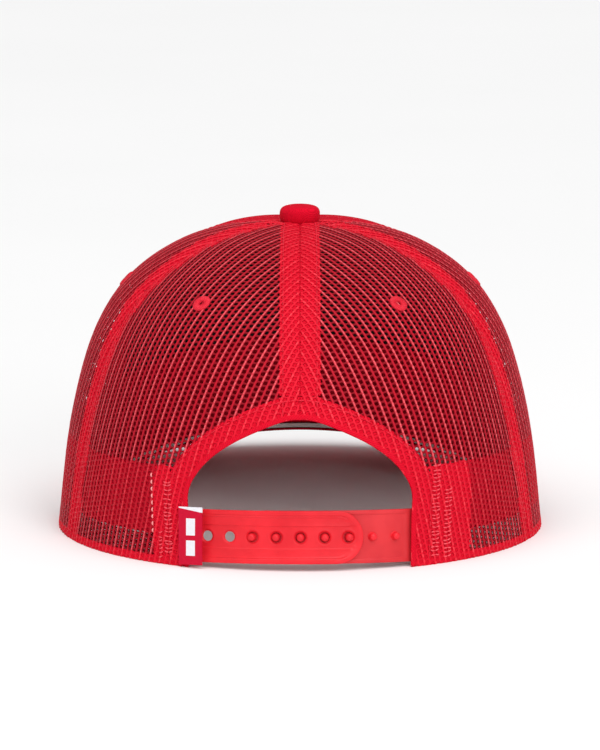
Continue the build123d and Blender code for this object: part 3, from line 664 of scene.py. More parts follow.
def lattice(g, rear, seed, off=0.0, low=0.0, high=None, keep=None, raise_wale=1.0, shift=(0.0, 0.0), lean=0.0):
    rng = np.random.default_rng(seed)
    ca, sa = math.cos(lean), math.sin(lean)

    def leaned(u, s):
        """the grain turned about a point in the middle of the panel"""
        return u * ca - (s - 45.0) * sa, 45.0 + u * sa + (s - 45.0) * ca

    s_top = np.interp(T_BUTTON, g.T, g.S)
    umax = float(np.abs(g.U[:, [10, 110]]).max())
    more = abs(sa)
    K, J = int((umax + more * s_top) / P_U) + 2, int((s_top + more * umax) / P_V) + 3
    k, j = np.meshgrid(np.arange(-K, K + 1), np.arange(-4 - int(more * umax / P_V), J), indexing="ij")
    k, j = k.ravel(), j.ravel()
    m = 2 * j + (k % 2)  # hole centre in half rows
    lu, ls = k * P_U + shift[0], m * P_V / 2 + shift[1]
    cu, cs = leaned(lu, ls)
    az, T = g.at(cu, cs)
    # the seams' half width there
    p = base_point(az, T)
    r = np.hypot(p[:, 0], p[:, 1] - APEX_Y)
    fa = (g.half + g.half + 0.10) / (2 * (g.half + 0.10)) * 120
    ia, wa = int(fa), fa - int(fa)
    w_hi = g.U[:, ia] * (1 - wa) + g.U[:, ia + 1] * wa
    w_lo = -(g.U[:, 120 - ia] * (1 - wa) + g.U[:, 120 - ia - 1] * wa)
    hw = np.where(cu > 0, np.interp(cs, g.S, w_hi), np.interp(cs, g.S, w_lo))
    ok = (np.abs(cu) < hw + P_U * 0.62) & (cs < s_top + P_V * 0.4)
    hz = hem_z(p[:, 0], p[:, 1]) + low
    ok &= p[:, 2] > hz - P_V * 0.45
    if high is not None:
        ok &= p[:, 2] < hz - low + high + P_V * 0.45
    if rear:
        near = ok & (p[:, 1] > 0) & (np.abs(p[:, 0]) < 60) & (p[:, 2] < 75)
        d = np.full(len(cu), 9.0)
        d[near] = arch_distance(p[near, 0], p[near, 2])[0]
        ok &= d > -P_U * 0.45
    if keep is not None:
        ok &= keep(p)
    k, m, lu, ls = k[ok], m[ok], lu[ok], ls[ok]
    n = len(k)
    ang = np.arange(8) * math.pi / 4
    bu = np.array([1, 1, 0, -1, -1, -1, 0, 1])
    bv = np.array([0, 1, 1, 1, 0, -1, -1, -1])
    kb = 2 * k[:, None] + bu[None, :]
    mb = m[:, None] + bv[None, :]
    key, inv = np.unique(np.stack([kb.ravel(), mb.ravel()], -1), axis=0, return_inverse=True)
    inv = inv.reshape(n, 8)
    wob = rng.normal(0, 0.05, (len(key), 2))
    BU = key[:, 0] * P_U / 2 + shift[0] + wob[:, 0]
    BV = key[:, 1] * P_V / 2 + shift[1] + wob[:, 1]
    on_wale = (key[:, 0] % 2) != 0
    strong = on_wale & (((key[:, 0] - 1) // 2) % 2 == 0)
    hb = np.where(strong, 0.44, np.where(on_wale, 0.28, 0.15)) * raise_wale + rng.normal(0, 0.015, len(key))
    ru = HOLE_U * (1 + rng.normal(0, 0.06, (n, 1)))
    rv = HOLE_V * (1 + rng.normal(0, 0.07, (n, 1)))
    tilt = rng.normal(0, 0.12, (n, 1))
    hu = lu[:, None] + ru * np.cos(ang + tilt) + rng.normal(0, 0.02, (n, 8))
    hv = ls[:, None] + rv * np.sin(ang + tilt) + rng.normal(0, 0.02, (n, 8))
    bU, bV = BU[inv], BV[inv]
    mix = 0.50
    mu, mv = bU * (1 - mix) + hu * mix, bV * (1 - mix) + hv * mix
    U = np.concatenate([BU, BU, mu.ravel(), hu.ravel()])
    V = np.concatenate([BV, BV, mv.ravel(), hv.ravel()])
    H = np.concatenate([hb, np.full(len(key), -0.16), (hb[inv] * 0.82 + 0.02).ravel(), np.zeros(8 * n)])
    az, T = g.at(*leaned(U, V))
    az, T, moved = clamp(g, az, T, rear, low=low, high=high)
    H = np.where(moved, H * 0.4, H)
    pts = surf(az, T, H + MID + off)
    nb = len(key)
    mid0, hole0 = 2 * nb, 2 * nb + 8 * n
    c = np.arange(n)[:, None] * 8
    i8 = np.arange(8)
    nx = (i8 + 1) % 8
    top_b, bot_b = inv, inv + nb
    md, hl = mid0 + c + i8, hole0 + c + i8
    faces = []
    faces.append(np.stack([top_b[:, i8], top_b[:, nx], md[:, nx], md[:, i8]], -1).reshape(-1, 4))
    faces.append(np.stack([md[:, i8], md[:, nx], hl[:, nx], hl[:, i8]], -1).reshape(-1, 4))
    faces.append(np.stack([hl[:, i8], hl[:, nx], bot_b[:, nx], bot_b[:, i8]], -1).reshape(-1, 4))
    F = np.vstack(faces)
    q = pts[F]
    area = np.linalg.norm(np.cross(q[:, 2] - q[:, 0], q[:, 3] - q[:, 1]), axis=1) / 2
    F = F[area > 4e-3]
    # outward facing
    q = pts[F[:len(F) // 4]]
    nrm = np.cross(q[:, 2] - q[:, 0], q[:, 3] - q[:, 1])
    if (nrm * (q.mean(1) - np.array([0, APEX_Y, 40.0]))).sum() < 0:
        F = F[:, ::-1]
    return pts, F, np.stack([U, V], -1)


def joined(parts):
    P, F, U, n = [], [], [], 0
    for p, f, u in parts:
        P.append(p)
        F.append(f + n)
        U.append(u)
        n += len(p)
    P, F, U = np.vstack(P), np.vstack(F), np.vstack(U)
    used = np.unique(F)
    index = np.full(len(P), -1)
    index[used] = np.arange(len(used))
    return P[used], index[F], U[used]


def tape_gap(width, facing):
    """keeps the turned-in hem off the tapes"""
    def keep(p):
        az = np.mod(np.arctan2(p[:, 0], p[:, 1] - APEX_Y), 2 * math.pi)
        r = np.hypot(p[:, 0], p[:, 1] - APEX_Y)
        ok = np.ones(len(p), bool)
        for s in SEAMS:
            ok &= np.abs(az - s) * r > width
        if facing:
            ok &= np.abs(p[:, 0]) > facing
        return ok
    return keep


def backed(p, rear):
    """where a tape, the facing or the sweatband lies right behind the mesh"""
    az = np.mod(np.arctan2(p[:, 0], p[:, 1] - APEX_Y), 2 * math.pi)
    r = np.hypot(p[:, 0], p[:, 1] - APEX_Y)
    out = np.zeros(len(p), bool)
    for s, half in zip(SEAMS, (7.25, 6.5, 6.5, 6.5, 6.5, 6.5, 7.25)):
        out |= np.abs(az - s) * r < half
    h = hem_z(p[:, 0], p[:, 1])
    band = (p[:, 2] > np.maximum(10.5, h)) & (p[:, 2] < 34.5 + h * 0.97)
    beside = np.full(len(p), 99.0)
    for s in SEAMS:
        beside = np.minimum(beside, np.abs(az - s) * r)
    out = np.where(out, 1, 0)
    out = np.where((out == 0) & band & (beside > 8.2), 2, out)
    hem = (p[:, 2] - h < 3.0)
    out = np.where((out == 0) & hem, 1, out)
    if rear:
        near = (p[:, 1] > 0) & (np.abs(p[:, 0]) < 64) & (p[:, 2] < 75)
        d = np.full(len(p), 99.0)
        d[near] = arch_distance(p[near, 0], p[near, 2])[0]
        reach = 8.0 + np.where(p[:, 2] < 35.0, np.where(p[:, 0] > 0, 4.7, 13.5), 0.0)
        out = np.where(d < reach, 1, out)
    return out


PANELS = {
    "mesh_rear_left": (0, REAR_SEAM, True), "mesh_rear_right": (360 - REAR_SEAM, 360, True),
    "mesh_side_left": (REAR_SEAM, FRONT_SEAM, False), "mesh_side_right": (360 - FRONT_SEAM, 360 - REAR_SEAM, False),
}
for seed, (name, (lo, hi, rear)) in enumerate(PANELS.items()):
    g = Gore(lo, hi)
    lean = math.radians(12.0) * (0 if not rear else 1 if lo == 0 else -1)
    main = lattice(g, rear, 11 + seed, lean=lean)
    turned = lattice(g, rear, 41 + seed, off=-0.62, low=0.6, high=10.0, keep=tape_gap(7.6, 48.5 if rear else 0), raise_wale=0.6, shift=(0.9, 0.7), lean=lean)
    pts, F, uv = joined([main, turned])
    ob = make("panel_" + name, pts, F, M_MESH_SHADED, uv=uv)
    ob.data.materials.append(M_MESH_BACKED_LIT)
    index = np.zeros(len(ob.data.polygons), np.int32)
    centre = np.zeros(len(ob.data.polygons) * 3)
    ob.data.polygons.foreach_get("center", centre)
    ob.data.materials.append(M_MESH_BAND_SHADED)
    # faces over a tape, the facing or the hem take the lighter painted copy (1); faces over the sweatband take the
    # darker painted copy (2)
    index[:] = backed(centre.reshape(-1, 3) / MM, rear)
    ob.data.polygons.foreach_set("material_index", index)
    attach(ob, "cap"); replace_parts(ob, name)


# ------------------------------------------------------------------ front panels
def meridian_grid(a0, a1, nu, nT, low=0.0, t_end=T_BUTTON, off=-0.02):
    az = np.linspace(a0, a1, nu)
    Th = T_of_z(np.interp(hem_T(az), np.arange(len(_z)), _z) + low)
    w = np.linspace(0, 1, nT)
    # rows evenly spaced along the rear-side meridian's length
    M = base_point(np.full(TN - 1, az[nu // 2]), np.arange(TN - 1, dtype=float))
    S = np.concatenate([[0], np.cumsum(np.linalg.norm(np.diff(M, axis=0), axis=1))])
    TT = np.empty((nu, nT))
    for i in range(nu):
        s0, s1 = np.interp(Th[i], np.arange(TN - 1), S), np.interp(t_end, np.arange(TN - 1), S)
        TT[i] = np.interp(s0 + (s1 - s0) * w, S, np.arange(TN - 1))
    A = np.repeat(az[:, None], nT, 1)
    return A, TT, surf(A, TT, np.full(A.shape, off)), S


for name, lo, hi in (("front_panel_left", FRONT_SEAM, 180), ("front_panel_right", 180, 360 - FRONT_SEAM)):
    a0, a1 = math.radians(lo), math.radians(hi)
    g = Gore(lo, hi)
    x = np.linspace(0, 1, 71)
    A, TT, _, S = meridian_grid(a0, a1, 71, 120)
    P0 = base_point(A, TT)
    r = np.hypot(P0[..., 0], P0[..., 1] - APEX_Y)
    A = np.clip(A, a0 + 0.10 / r, a1 - 0.10 / r)
    P = surf(A, TT, np.full(A.shape, -0.02))
    N = base_normal(A, TT)
    u = (A - g.mid) * r
    uv = np.stack([u, np.interp(TT, np.arange(TN - 1), S)], -1)
    ob = solid_patch("panel_" + name, P, N, 0.56, M_FRONT, uv=uv)
    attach(ob, "cap"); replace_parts(ob, name)
    cut_cloth(P)

# ------------------------------------------------------------------ seam tapes and the opening's facing, inside
T_TAPE = float(np.interp(-13.5, -TA, np.arange(TN)))


def tape(name, az_deg, width, depth, thick, t_end, mat, cut_facing=False, bead=0.10, swollen=True):
    azc = math.radians(az_deg)
    Th = float(hem_T(np.array([azc]))[0])
    if cut_facing:
        Th = float(T_of_z(53.0 + 8.2))
    nT, nw = 150, 15
    M = base_point(np.full(TN - 1, azc), np.arange(TN - 1, dtype=float))
    S = np.concatenate([[0], np.cumsum(np.linalg.norm(np.diff(M, axis=0), axis=1))])
    s = np.linspace(np.interp(Th, np.arange(TN - 1), S), np.interp(t_end, np.arange(TN - 1), S), nT)
    TT = np.repeat(np.interp(s, S, np.arange(TN - 1))[:, None], nw, 1)
    w = np.repeat(np.linspace(-width / 2, width / 2, nw)[None, :], nT, 0)
    P0 = base_point(np.full(TT.shape, azc), TT)
    r = np.hypot(P0[..., 0], P0[..., 1] - APEX_Y)
    A = azc + np.arctan2(w, r)
    hem = hem_T(A[0])
    TT = np.maximum(TT, hem[None, :]) if not cut_facing else TT
    seam_bead = bead * np.exp(-(w / 1.2) ** 2)
    P = surf(A, TT, -depth + seam_bead, swollen=swollen)
    N = base_normal(A, TT)
    uv = np.stack([w, np.repeat(s[:, None], nw, 1)], -1)
    ob = solid_patch(name, P, N, thick, mat, uv=uv)
    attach(ob, "cap")
    cut_cloth(P)
    return ob


T_CENTER = float(np.interp(-3.2, -TA, np.arange(TN)))
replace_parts(tape("tape_rear_center", 0, 14.5, 0.46, 0.5, T_CENTER, M_TAPE, cut_facing=True, bead=0.0), "seam_tape_rear_center")
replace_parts(tape("tape_rear_left", REAR_SEAM, 13, 0.46, 0.5, T_TAPE, M_TAPE, bead=0.0), "seam_tape_rear_left")
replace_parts(tape("tape_rear_right", 360 - REAR_SEAM, 13, 0.46, 0.5, T_TAPE, M_TAPE, bead=0.0), "seam_tape_rear_right")
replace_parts(tape("tape_front_left", FRONT_SEAM, 13, 1.56, 0.5, T_TAPE, M_TAPE, bead=0.0), "seam_tape_front_left")
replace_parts(tape("tape_front_right", 360 - FRONT_SEAM, 13, 1.56, 0.5, T_TAPE, M_TAPE, bead=0.0), "seam_tape_front_right")
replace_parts(tape("tape_front_center", 180, 13, 1.56, 0.5, T_CENTER, M_TAPE, bead=0.0), "seam_tape_front_center")

# facing: from the opening's edge outwards
foot = OUTLINE[:, 1] >= 0.3
path2, n2 = OUTLINE[foot], OUT_N[foot]
reach = np.full(len(path2), 8.0)
w = np.linspace(0.0, 1.0, 24)
X = path2[:, None, 0] + n2[:, None, 0] * (0.3 + w * (reach[:, None] - 0.3))
Z = np.maximum(path2[:, None, 1] + n2[:, None, 1] * (0.3 + w * (reach[:, None] - 0.3)), 0.15)
A, TT = az_T_of_xz(X, Z)
P = surf(A, TT, np.full(A.shape, -0.47))
N = base_normal(A, TT)
sl = np.concatenate([[0], np.cumsum(np.linalg.norm(np.diff(path2, axis=0), axis=1))])
ob = solid_patch("facing_tape", P, N, 0.5, M_TAPE, uv=np.stack([w[None] * reach[:, None], np.repeat(sl[:, None], len(w), 1)], -1))
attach(ob, "cap"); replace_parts(ob, "opening_facing")

# cloth over the strap tabs, beside the opening
for hand, xs in (("left", (46.0, 52.2)), ("right", (-46.0, -60.6))):
    x = np.linspace(xs[0], xs[1], 14)
    z = np.linspace(2.2, 34.6, 30)
    X, Z = np.meshgrid(x, z, indexing="ij")
    A, TT = az_T_of_xz(X, Z)
    P = surf(A, TT, np.full(A.shape, -0.48))
    ob = solid_patch("tab_cover_" + hand, P, base_normal(A, TT), 0.5, M_TAPE, uv=np.stack([X, Z], -1))
    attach(ob, "cap")
    if hand == "right":  # the left one is narrower and is not measured; the left one is narrower than the least a sheet may be
        cut_cloth(P)

# rolled edge round the opening
w0 = 1.0
Xe, Ze = path2[:, 0] + n2[:, 0] * w0, np.maximum(path2[:, 1] + n2[:, 1] * w0, 0.2)
A, TT = az_T_of_xz(Xe, Ze)
P = surf(A, TT, np.full(A.shape, -0.50))
N = base_normal(A, TT)
T3 = unit(np.gradient(P, axis=0))
W3 = unit(np.cross(T3, N))
Xo, Zo = path2[:, 0] + n2[:, 0] * 3, path2[:, 1] + n2[:, 1] * 3
A2, TT2 = az_T_of_xz(Xo, np.maximum(Zo, 0.2))
flip = ((surf(A2, TT2, np.full(A2.shape, -0.5)) - P) * W3).sum(-1).mean() < 0
W3 = -W3 if flip else W3
lump = 1 + 0.05 * np.sin(np.arange(len(P)) * 0.9)
ob = ribbon("opening_edge", P, N, W3, round_profile(2.0, 1.15, 8), M_TAPE)
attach(ob, "cap")
EDGE_STITCH = (surf(*az_T_of_xz(path2[:, 0] + n2[:, 0] * 6.6, np.maximum(path2[:, 1] + n2[:, 1] * 6.6, 0.5)), np.full(len(path2), 0.05)), N)

# ------------------------------------------------------------------ hem roll of the mesh panels
for side in (1, -1):
    a0 = math.atan2(40.3, 88.0 + 4)
    a1 = math.radians(124.5)
    az = np.linspace(a0, a1, 260) if side > 0 else np.linspace(2 * math.pi - a0, 2 * math.pi - a1, 260)
    hz = np.interp(hem_T(az), np.arange(len(_z)), _z)
    P = surf(az, T_of_z(hz + 1.5), np.full(az.shape, -0.86))
    N = base_normal(az, T_of_z(hz + 1.45))
    T3 = unit(np.gradient(P, axis=0))
    W3 = unit(np.cross(T3, N))
    W3 = np.where(W3[:, 2:3] < 0, -W3, W3)
    ob = ribbon("hem_roll_" + ("left" if side > 0 else "right"), P, N, W3, round_profile(2.9, 1.0, 8), M_TAPE)
    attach(ob, "cap")

# ------------------------------------------------------------------ sweatband
def smooth_step(x):
    x = np.clip(x, 0, 1)
    return x * x * (3 - 2 * x)


def band_end(x):
    return math.atan2(x, 92.5 - APEX_Y)


a0, a1 = band_end(53.6), 2 * math.pi + band_end(-59.2)
az = np.linspace(a0, a1, 330)
p_low = base_point(az, T_of_z(np.full(az.shape, 12.0)))
front = np.clip((-p_low[:, 1]) / 43.0, 0, 1)
low = np.maximum(10.5, hem_z(p_low[:, 0], p_low[:, 1]) + 0.25)
high = 34.5 + hem_z(p_low[:, 0], p_low[:, 1]) * 0.97
rows = np.linspace(0, 1, 26)
Zb = low[:, None] + (high - low)[:, None] * rows[None, :]
A = np.repeat(az[:, None], len(rows), 1)
TT = T_of_z(Zb)
wave = 0.10 * np.sin(A * 41 + rows[None] * 2.0) * np.sin(A * 17.3 + 0.5) * np.sin(math.pi * rows[None])
roll = 0.55 * np.clip(1 - rows[None] / 0.07, 0, 1) ** 2 + 0.55 * np.clip(1 - (1 - rows[None]) / 0.07, 0, 1) ** 2
behind = np.clip((-p_low[:, 1:2] - 34.0) / 12.0, 0, 1)
behind = behind * behind * (3 - 2 * behind)
beside = np.full(az.shape, 99.0)
for q in SEAMS:
    beside = np.minimum(beside, np.abs(np.mod(az - q + math.pi, 2 * math.pi) - math.pi) * np.hypot(p_low[:, 0], p_low[:, 1] - APEX_Y))
lifted = smooth_step((9.6 - beside) / 2.6)[:, None] * (1 - behind)
P = surf(A, TT, -0.56 - lifted * 0.72 - behind * 1.85 + wave * 0.6 - roll * 0.5)

N = base_normal(A, TT)
sl = np.concatenate([[0], np.cumsum(np.linalg.norm(np.diff(P[:, 12], axis=0), axis=1))])
ob = solid_patch("band", P, N, 1.25, M_BAND, uv=np.stack([np.repeat(sl[:, None], len(rows), 1), Zb], -1))
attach(ob, "cap"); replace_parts(ob, "sweatband")

# ------------------------------------------------------------------ brim
plan = smooth_curve(BRIM_PLAN + [(-x, y) for x, y in reversed(BRIM_PLAN[:-1])], 420)
plan = plan[plan[:, 1] < -43.6]
tuck = np.clip((plan[:, 1] + 62.0) / 18.4, 0, 1)
plan[:, 0] -= np.sign(plan[:, 0]) * 4.4 * tuck * tuck * (3 - 2 * tuck)
outer = np.stack([np.interp(np.linspace(0, 1, 380), np.linspace(0, 1, len(plan)), plan[:, k]) for k in (0, 1)], -1)
ya = -43.6
t0 = math.asin(-ya / 95.0)
ti = np.linspace(t0, math.pi - t0, 380)
# inner points matched to the outer ones by their turn round the middle
inner = np.stack([86.0 * np.cos(ti), -95.0 * np.sin(ti)], -1)


def inset_distance(x, y):
    """distance in from the brim's outer edge"""
    q = np.stack([x, y], -1).reshape(-1, 2)
    out = np.empty(len(q))
    for i in range(0, len(q), 20000):
        b = q[i:i + 20000]
        out[i:i + 20000] = np.sqrt(((b[:, None, :] - plan[None, ::2, :]) ** 2).sum(-1).min(1))
    return out.reshape(x.shape)


STITCH_ROWS = [4.2 + 5.3 * k for k in range(8)]
wj = 1 - (1 - np.linspace(0, 1, 130)) ** 1.0
wj = np.concatenate([[0, 0.002, 0.005, 0.009, 0.014], np.linspace(0.02, 1, 125)])
G = outer[:, None, :] * (1 - wj)[None, :, None] + inner[:, None, :] * wj[None, :, None]
D = inset_distance(G[..., 0], G[..., 1])
groove = sum(np.exp(-((D - d) / 0.55) ** 2) for d in STITCH_ROWS) * 0.30
edge = np.clip(1 - D / 1.8, 0, 1)
edge = 1.8 * (1 - np.sqrt(np.maximum(1 - edge ** 2, 0)))
puff = sum(np.exp(-((D - (d + 2.65)) / 1.6) ** 2) for d in [-1.1] + STITCH_ROWS) * 0.10


def brim_face(lift, sign, grooves):
    z = brim_height(G[..., 0], G[..., 1], lift) + sign * (puff * grooves * 0.6 - groove * grooves - np.minimum(edge, 1.8))
    return np.stack([G[..., 0], G[..., 1], z], -1)


top = brim_face(BRIM_T, 1, 1.0)
under = brim_face(0.0, -1, 0.9)
mid_top = np.minimum(top[..., 2], brim_height(G[..., 0], G[..., 1], BRIM_T))
halfway = brim_height(G[..., 0], G[..., 1], BRIM_T * 0.5)
nu, nv = G.shape[:2]
uvb = G.reshape(-1, 2)
EZ = np.array([0, 0, 1.0])
for name, P, sgn, node_name in (("brim_cloth_top", top, 1, "brim_top_cloth"), ("brim_cloth_under", under, -1, "brim_under_cloth")):
    other = P.copy()
    other[..., 2] -= sgn * 0.62
    # the two cloths meet at the rim
    P[:, 0, 2] = halfway[:, 0]
    other[:, 0, 2] = halfway[:, 0] - sgn * 0.05
    for e in (0, -1):
        P[e, :, 2] = halfway[e]
        other[e, :, 2] = halfway[e] - sgn * 0.05
    verts, faces = close_layers(P.reshape(-1, 3), other.reshape(-1, 3), grid_faces(nu, nv))
    ob = outward(make(name, verts, faces, M_BRIM, uv=np.vstack([uvb, uvb]), sharp=50))
    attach(ob, "cap"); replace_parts(ob, node_name)
    cut_cloth(P)


# moulded board inside, a little short of the cloths' edge all round
board = plan.copy()
t_ = unit(np.gradient(board, axis=0))
n_ = np.stack([-t_[:, 1], t_[:, 0]], -1)
n_ = np.where(((board.mean(0) - board) * n_).sum(-1, keepdims=True) < 0, -n_, n_)
board = board + n_ * 1.7
board = np.stack([np.interp(np.linspace(0, 1, 200), np.linspace(0, 1, len(board)), board[:, k]) for k in (0, 1)], -1)
inner_b = np.stack([np.interp(np.linspace(0, 1, 200), np.linspace(0, 1, 380), inner[:, k]) for k in (0, 1)], -1)
inner_b[:, 1] = np.minimum(inner_b[:, 1], -45.5)
board[:, 1] = np.minimum(board[:, 1], -45.5)
wb = np.linspace(0, 1, 24)
GB = board[:, None, :] * (1 - wb)[None, :, None] + inner_b[:, None, :] * wb[None, :, None]
lay = [np.stack([GB[..., 0], GB[..., 1], brim_height(GB[..., 0], GB[..., 1], q)], -1).reshape(-1, 3) for q in (BRIM_T - 1.05, 1.05)]
verts, faces = close_layers(lay[0], lay[1], grid_faces(200, 24))
ob = outward(make("brim_stiffener", verts, faces, M_BOARD, sharp=40))
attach(ob, "cap"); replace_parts(ob, "brim_board")


def brim_row(d, lift, sign):
    """a stitched line at distance d inside the brim's outer edge"""
    t = unit(np.gradient(plan, axis=0))
    n = np.stack([-t[:, 1], t[:, 0]], -1)
    c = plan.mean(0)
    n = np.where(((c - plan) * n).sum(-1, keepdims=True) < 0, -n, n)
    q = plan + n * d
    ok = (inset_distance(q[:, 0], q[:, 1]) > d - 0.25) & ((q[:, 0] / 88.5) ** 2 + (q[:, 1] / 97.6) ** 2 > 1) & (q[:, 1] < -46)
    runs, cur = [], []
    for i, g in enumerate(ok):
        if g:
            cur.append(i)
        elif cur:
            runs.append(cur); cur = []
    if cur:
        runs.append(cur)
    out = []
    for r in runs:
        if len(r) < 6:
            continue
        x, y = q[r, 0], q[r, 1]
        z = brim_height(x, y, lift) - sign * 0.22
        e = 0.5
        nx = -(brim_height(x + e, y, lift) - brim_height(x - e, y, lift)) / (2 * e)
        ny = -(brim_height(x, y + e, lift) - brim_height(x, y - e, lift)) / (2 * e)
        nn = unit(np.stack([nx, ny, np.ones_like(nx)], -1)) * sign
        out.append((np.stack([x, y, z], -1), nn))
    return out


rows = []
for d in STITCH_ROWS:
    rows += brim_row(d, BRIM_T, 1) + brim_row(d, 0.0, -1)
ob = stitches("brim_stitches", rows, M_THREAD, length=3.0, gap=0.5, width=0.55, height=0.36)
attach(ob, "cap")

# ------------------------------------------------------------------ button on the apex
prof = smooth_curve([(6.5, -0.4), (7.1, 0.8), (7.38, 2.4), (7.25, 3.9), (6.5, 5.05), (5.0, 5.72), (2.6, 6.08), (0.0, 6.2)], 46)
ang = np.linspace(0, 2 * math.pi, 160, endpoint=False)
R, Zp = prof[:, 0], prof[:, 1]
lobes = 0.10 * np.clip((R - 4.5) / 2.5, 0, 1)[None] * (np.sin(ang * 22)[:, None] * 0.6 + np.sin(ang * 9 + 1)[:, None] * 0.5) * np.clip(1 - Zp / 4.5, 0, 1)[None]
flatten = 1 + 0.012 * np.sin(ang * 3 + 0.6)[:, None]
Rr = (R[None] + lobes) * flatten
V = np.stack([Rr * np.cos(ang)[:, None], APEX_Y + Rr * np.sin(ang)[:, None], np.broadcast_to(111.35 + Zp[None], Rr.shape)], -1)
Vi = V.copy()
Vi[..., 0] *= 0.94
Vi[..., 1] = APEX_Y + (Vi[..., 1] - APEX_Y) * 0.94
Vi[..., 2] -= 0.45
m = V.shape[1]
faces = []
for i in range(160):
    for k in range(m - 1):
        a, b = i * m, ((i + 1) % 160) * m
        faces.append([a + k, b + k, b + k + 1, a + k + 1])
F = np.array(faces)
verts, faces = close_layers(V.reshape(-1, 3), Vi.reshape(-1, 3), F)
uvq = np.stack([V[..., 0], V[..., 1] + V[..., 2]], -1).reshape(-1, 2)
ob = make("button_cap", verts, faces, M_BUTTON, uv=np.vstack([uvq, uvq]))
import bmesh
bm = bmesh.new()
bm.from_mesh(ob.data)
bmesh.ops.remove_doubles(bm, verts=bm.verts, dist=1e-6)
bmesh.ops.recalc_face_normals(bm, faces=bm.faces)
bm.to_mesh(ob.data)
bm.free()
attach(ob, "cap"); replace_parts(ob, "button_cover")

# ------------------------------------------------------------------ vent eyelets, satin stitched
for where, deg in (("rear", 30.5), ("side", 93.5), ("front", 151.0)):
    for side, hand in ((1, "left"), (-1, "right")):
        azc = math.radians(deg) if side > 0 else 2 * math.pi - math.radians(deg)
        T = float(T_of_z(88.5))
        c = surf(np.array([azc]), np.array([T]), 0.0)[0]
        nrm = base_normal(np.array([azc]), np.array([T]))[0]
        upv = unit(np.array([0, 0, 1.0]) - nrm * nrm[2])
        sd = np.cross(upv, nrm)
        wall = 0.55 if where != "front" else 1.5
        nr = 200
        th = np.linspace(0, 2 * math.pi, nr, endpoint=False)
        rng = np.random.default_rng(int(deg * 10) + side)
        threads = 40
        jit = rng.normal(0, 0.05, threads)
        ph = th / (2 * math.pi) * threads
        ridge = np.abs(np.sin(math.pi * ph)) ** 0.7
        prof = [(0.98, -wall), (0.90, -0.2), (1.02, 0.16), (1.35, 0.42), (1.85, 0.54), (2.45, 0.52), (3.0, 0.36), (3.35, 0.10), (3.45, -0.16), (3.2, -wall - 0.1), (2.2, -wall - 0.35), (1.3, -wall - 0.3)]
        prof = np.array(prof)
        lift = np.array([0, 0.2, 0.6, 1, 1, 1, 0.9, 0.6, 0.2, 0, 0, 0])
        jr = jit[np.clip(ph.astype(int), 0, threads - 1)]
        RR = prof[None, :, 0] + (ridge[:, None] - 0.5) * 0.10 * lift[None] * (prof[None, :, 0] > 2.6) + jr[:, None] * lift[None] * (prof[None, :, 0] > 2.8) * 2
        HH = prof[None, :, 1] + (ridge[:, None] - 0.5) * 0.20 * lift[None]
        V = c + sd * (RR * np.cos(th)[:, None])[..., None] + upv * (RR * np.sin(th)[:, None])[..., None] + nrm * HH[..., None]
        m = len(prof)
        faces = []
        for i in range(nr):
            a, b = i * m, ((i + 1) % nr) * m
            for k in range(m):
                k2 = (k + 1) % m
                faces.append([a + k, b + k, b + k2, a + k2])
        uv = np.stack([np.broadcast_to(th[:, None] * 2.2, RR.shape), RR], -1).reshape(-1, 2)
        ob = outward(make(f"vent_{where}_{hand}", V.reshape(-1, 3), faces, M_THREAD, uv=uv))
        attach(ob, "cap"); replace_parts(ob, f"eyelet_{where}_{hand}")


# ------------------------------------------------------------------ snap straps
def strap_point(l, h, r, side):
    """l along the strap from its hinge, positive into the sewn tab; h up; r out from the middle surface"""
    hinge = math.asin((LEFT_HINGE_X if side > 0 else RIGHT_HINGE_X) / STRAP_R)
    hx, hy = STRAP_R * math.sin(hinge), STRAP_R * math.cos(hinge)
    cx = hx + math.cos(SPREAD) * -hx + math.sin(SPREAD) * -hy
    cy = hy - math.sin(SPREAD) * -hx + math.cos(SPREAD) * -hy
    l = np.asarray(l, float)
    root = l > 0
    th = np.where(root, hinge + side * l / STRAP_R, hinge + SPREAD + side * l / STRAP_R)
    X = np.where(root, 0, cx) + (STRAP_R + r) * np.sin(th)
    Y = np.where(root, 0, cy) + (STRAP_R + r) * np.cos(th)
    oz = STRAP_Z - STRAP_R * math.sin(STRAP_LEAN)
    return np.stack([X, STRAP_CY + Y * math.cos(STRAP_LEAN) - h * math.sin(STRAP_LEAN), oz + Y * math.sin(STRAP_LEAN) + h * math.cos(STRAP_LEAN)], -1)


def smooth01(x):
    x = np.clip(x, 0, 1)
    return x * x * (3 - 2 * x)


MID_H = STRAP_H / 2
HINGES = {1: math.asin(LEFT_HINGE_X / STRAP_R), -1: math.asin(RIGHT_HINGE_X / STRAP_R)}
PITCH_A = 8.5 / STRAP_R
PEG_A = [math.radians(12.0) - k * PITCH_A for k in range(7)]
HOLE_A = [math.radians(12.0) + (2 - k) * PITCH_A for k in range(7)]


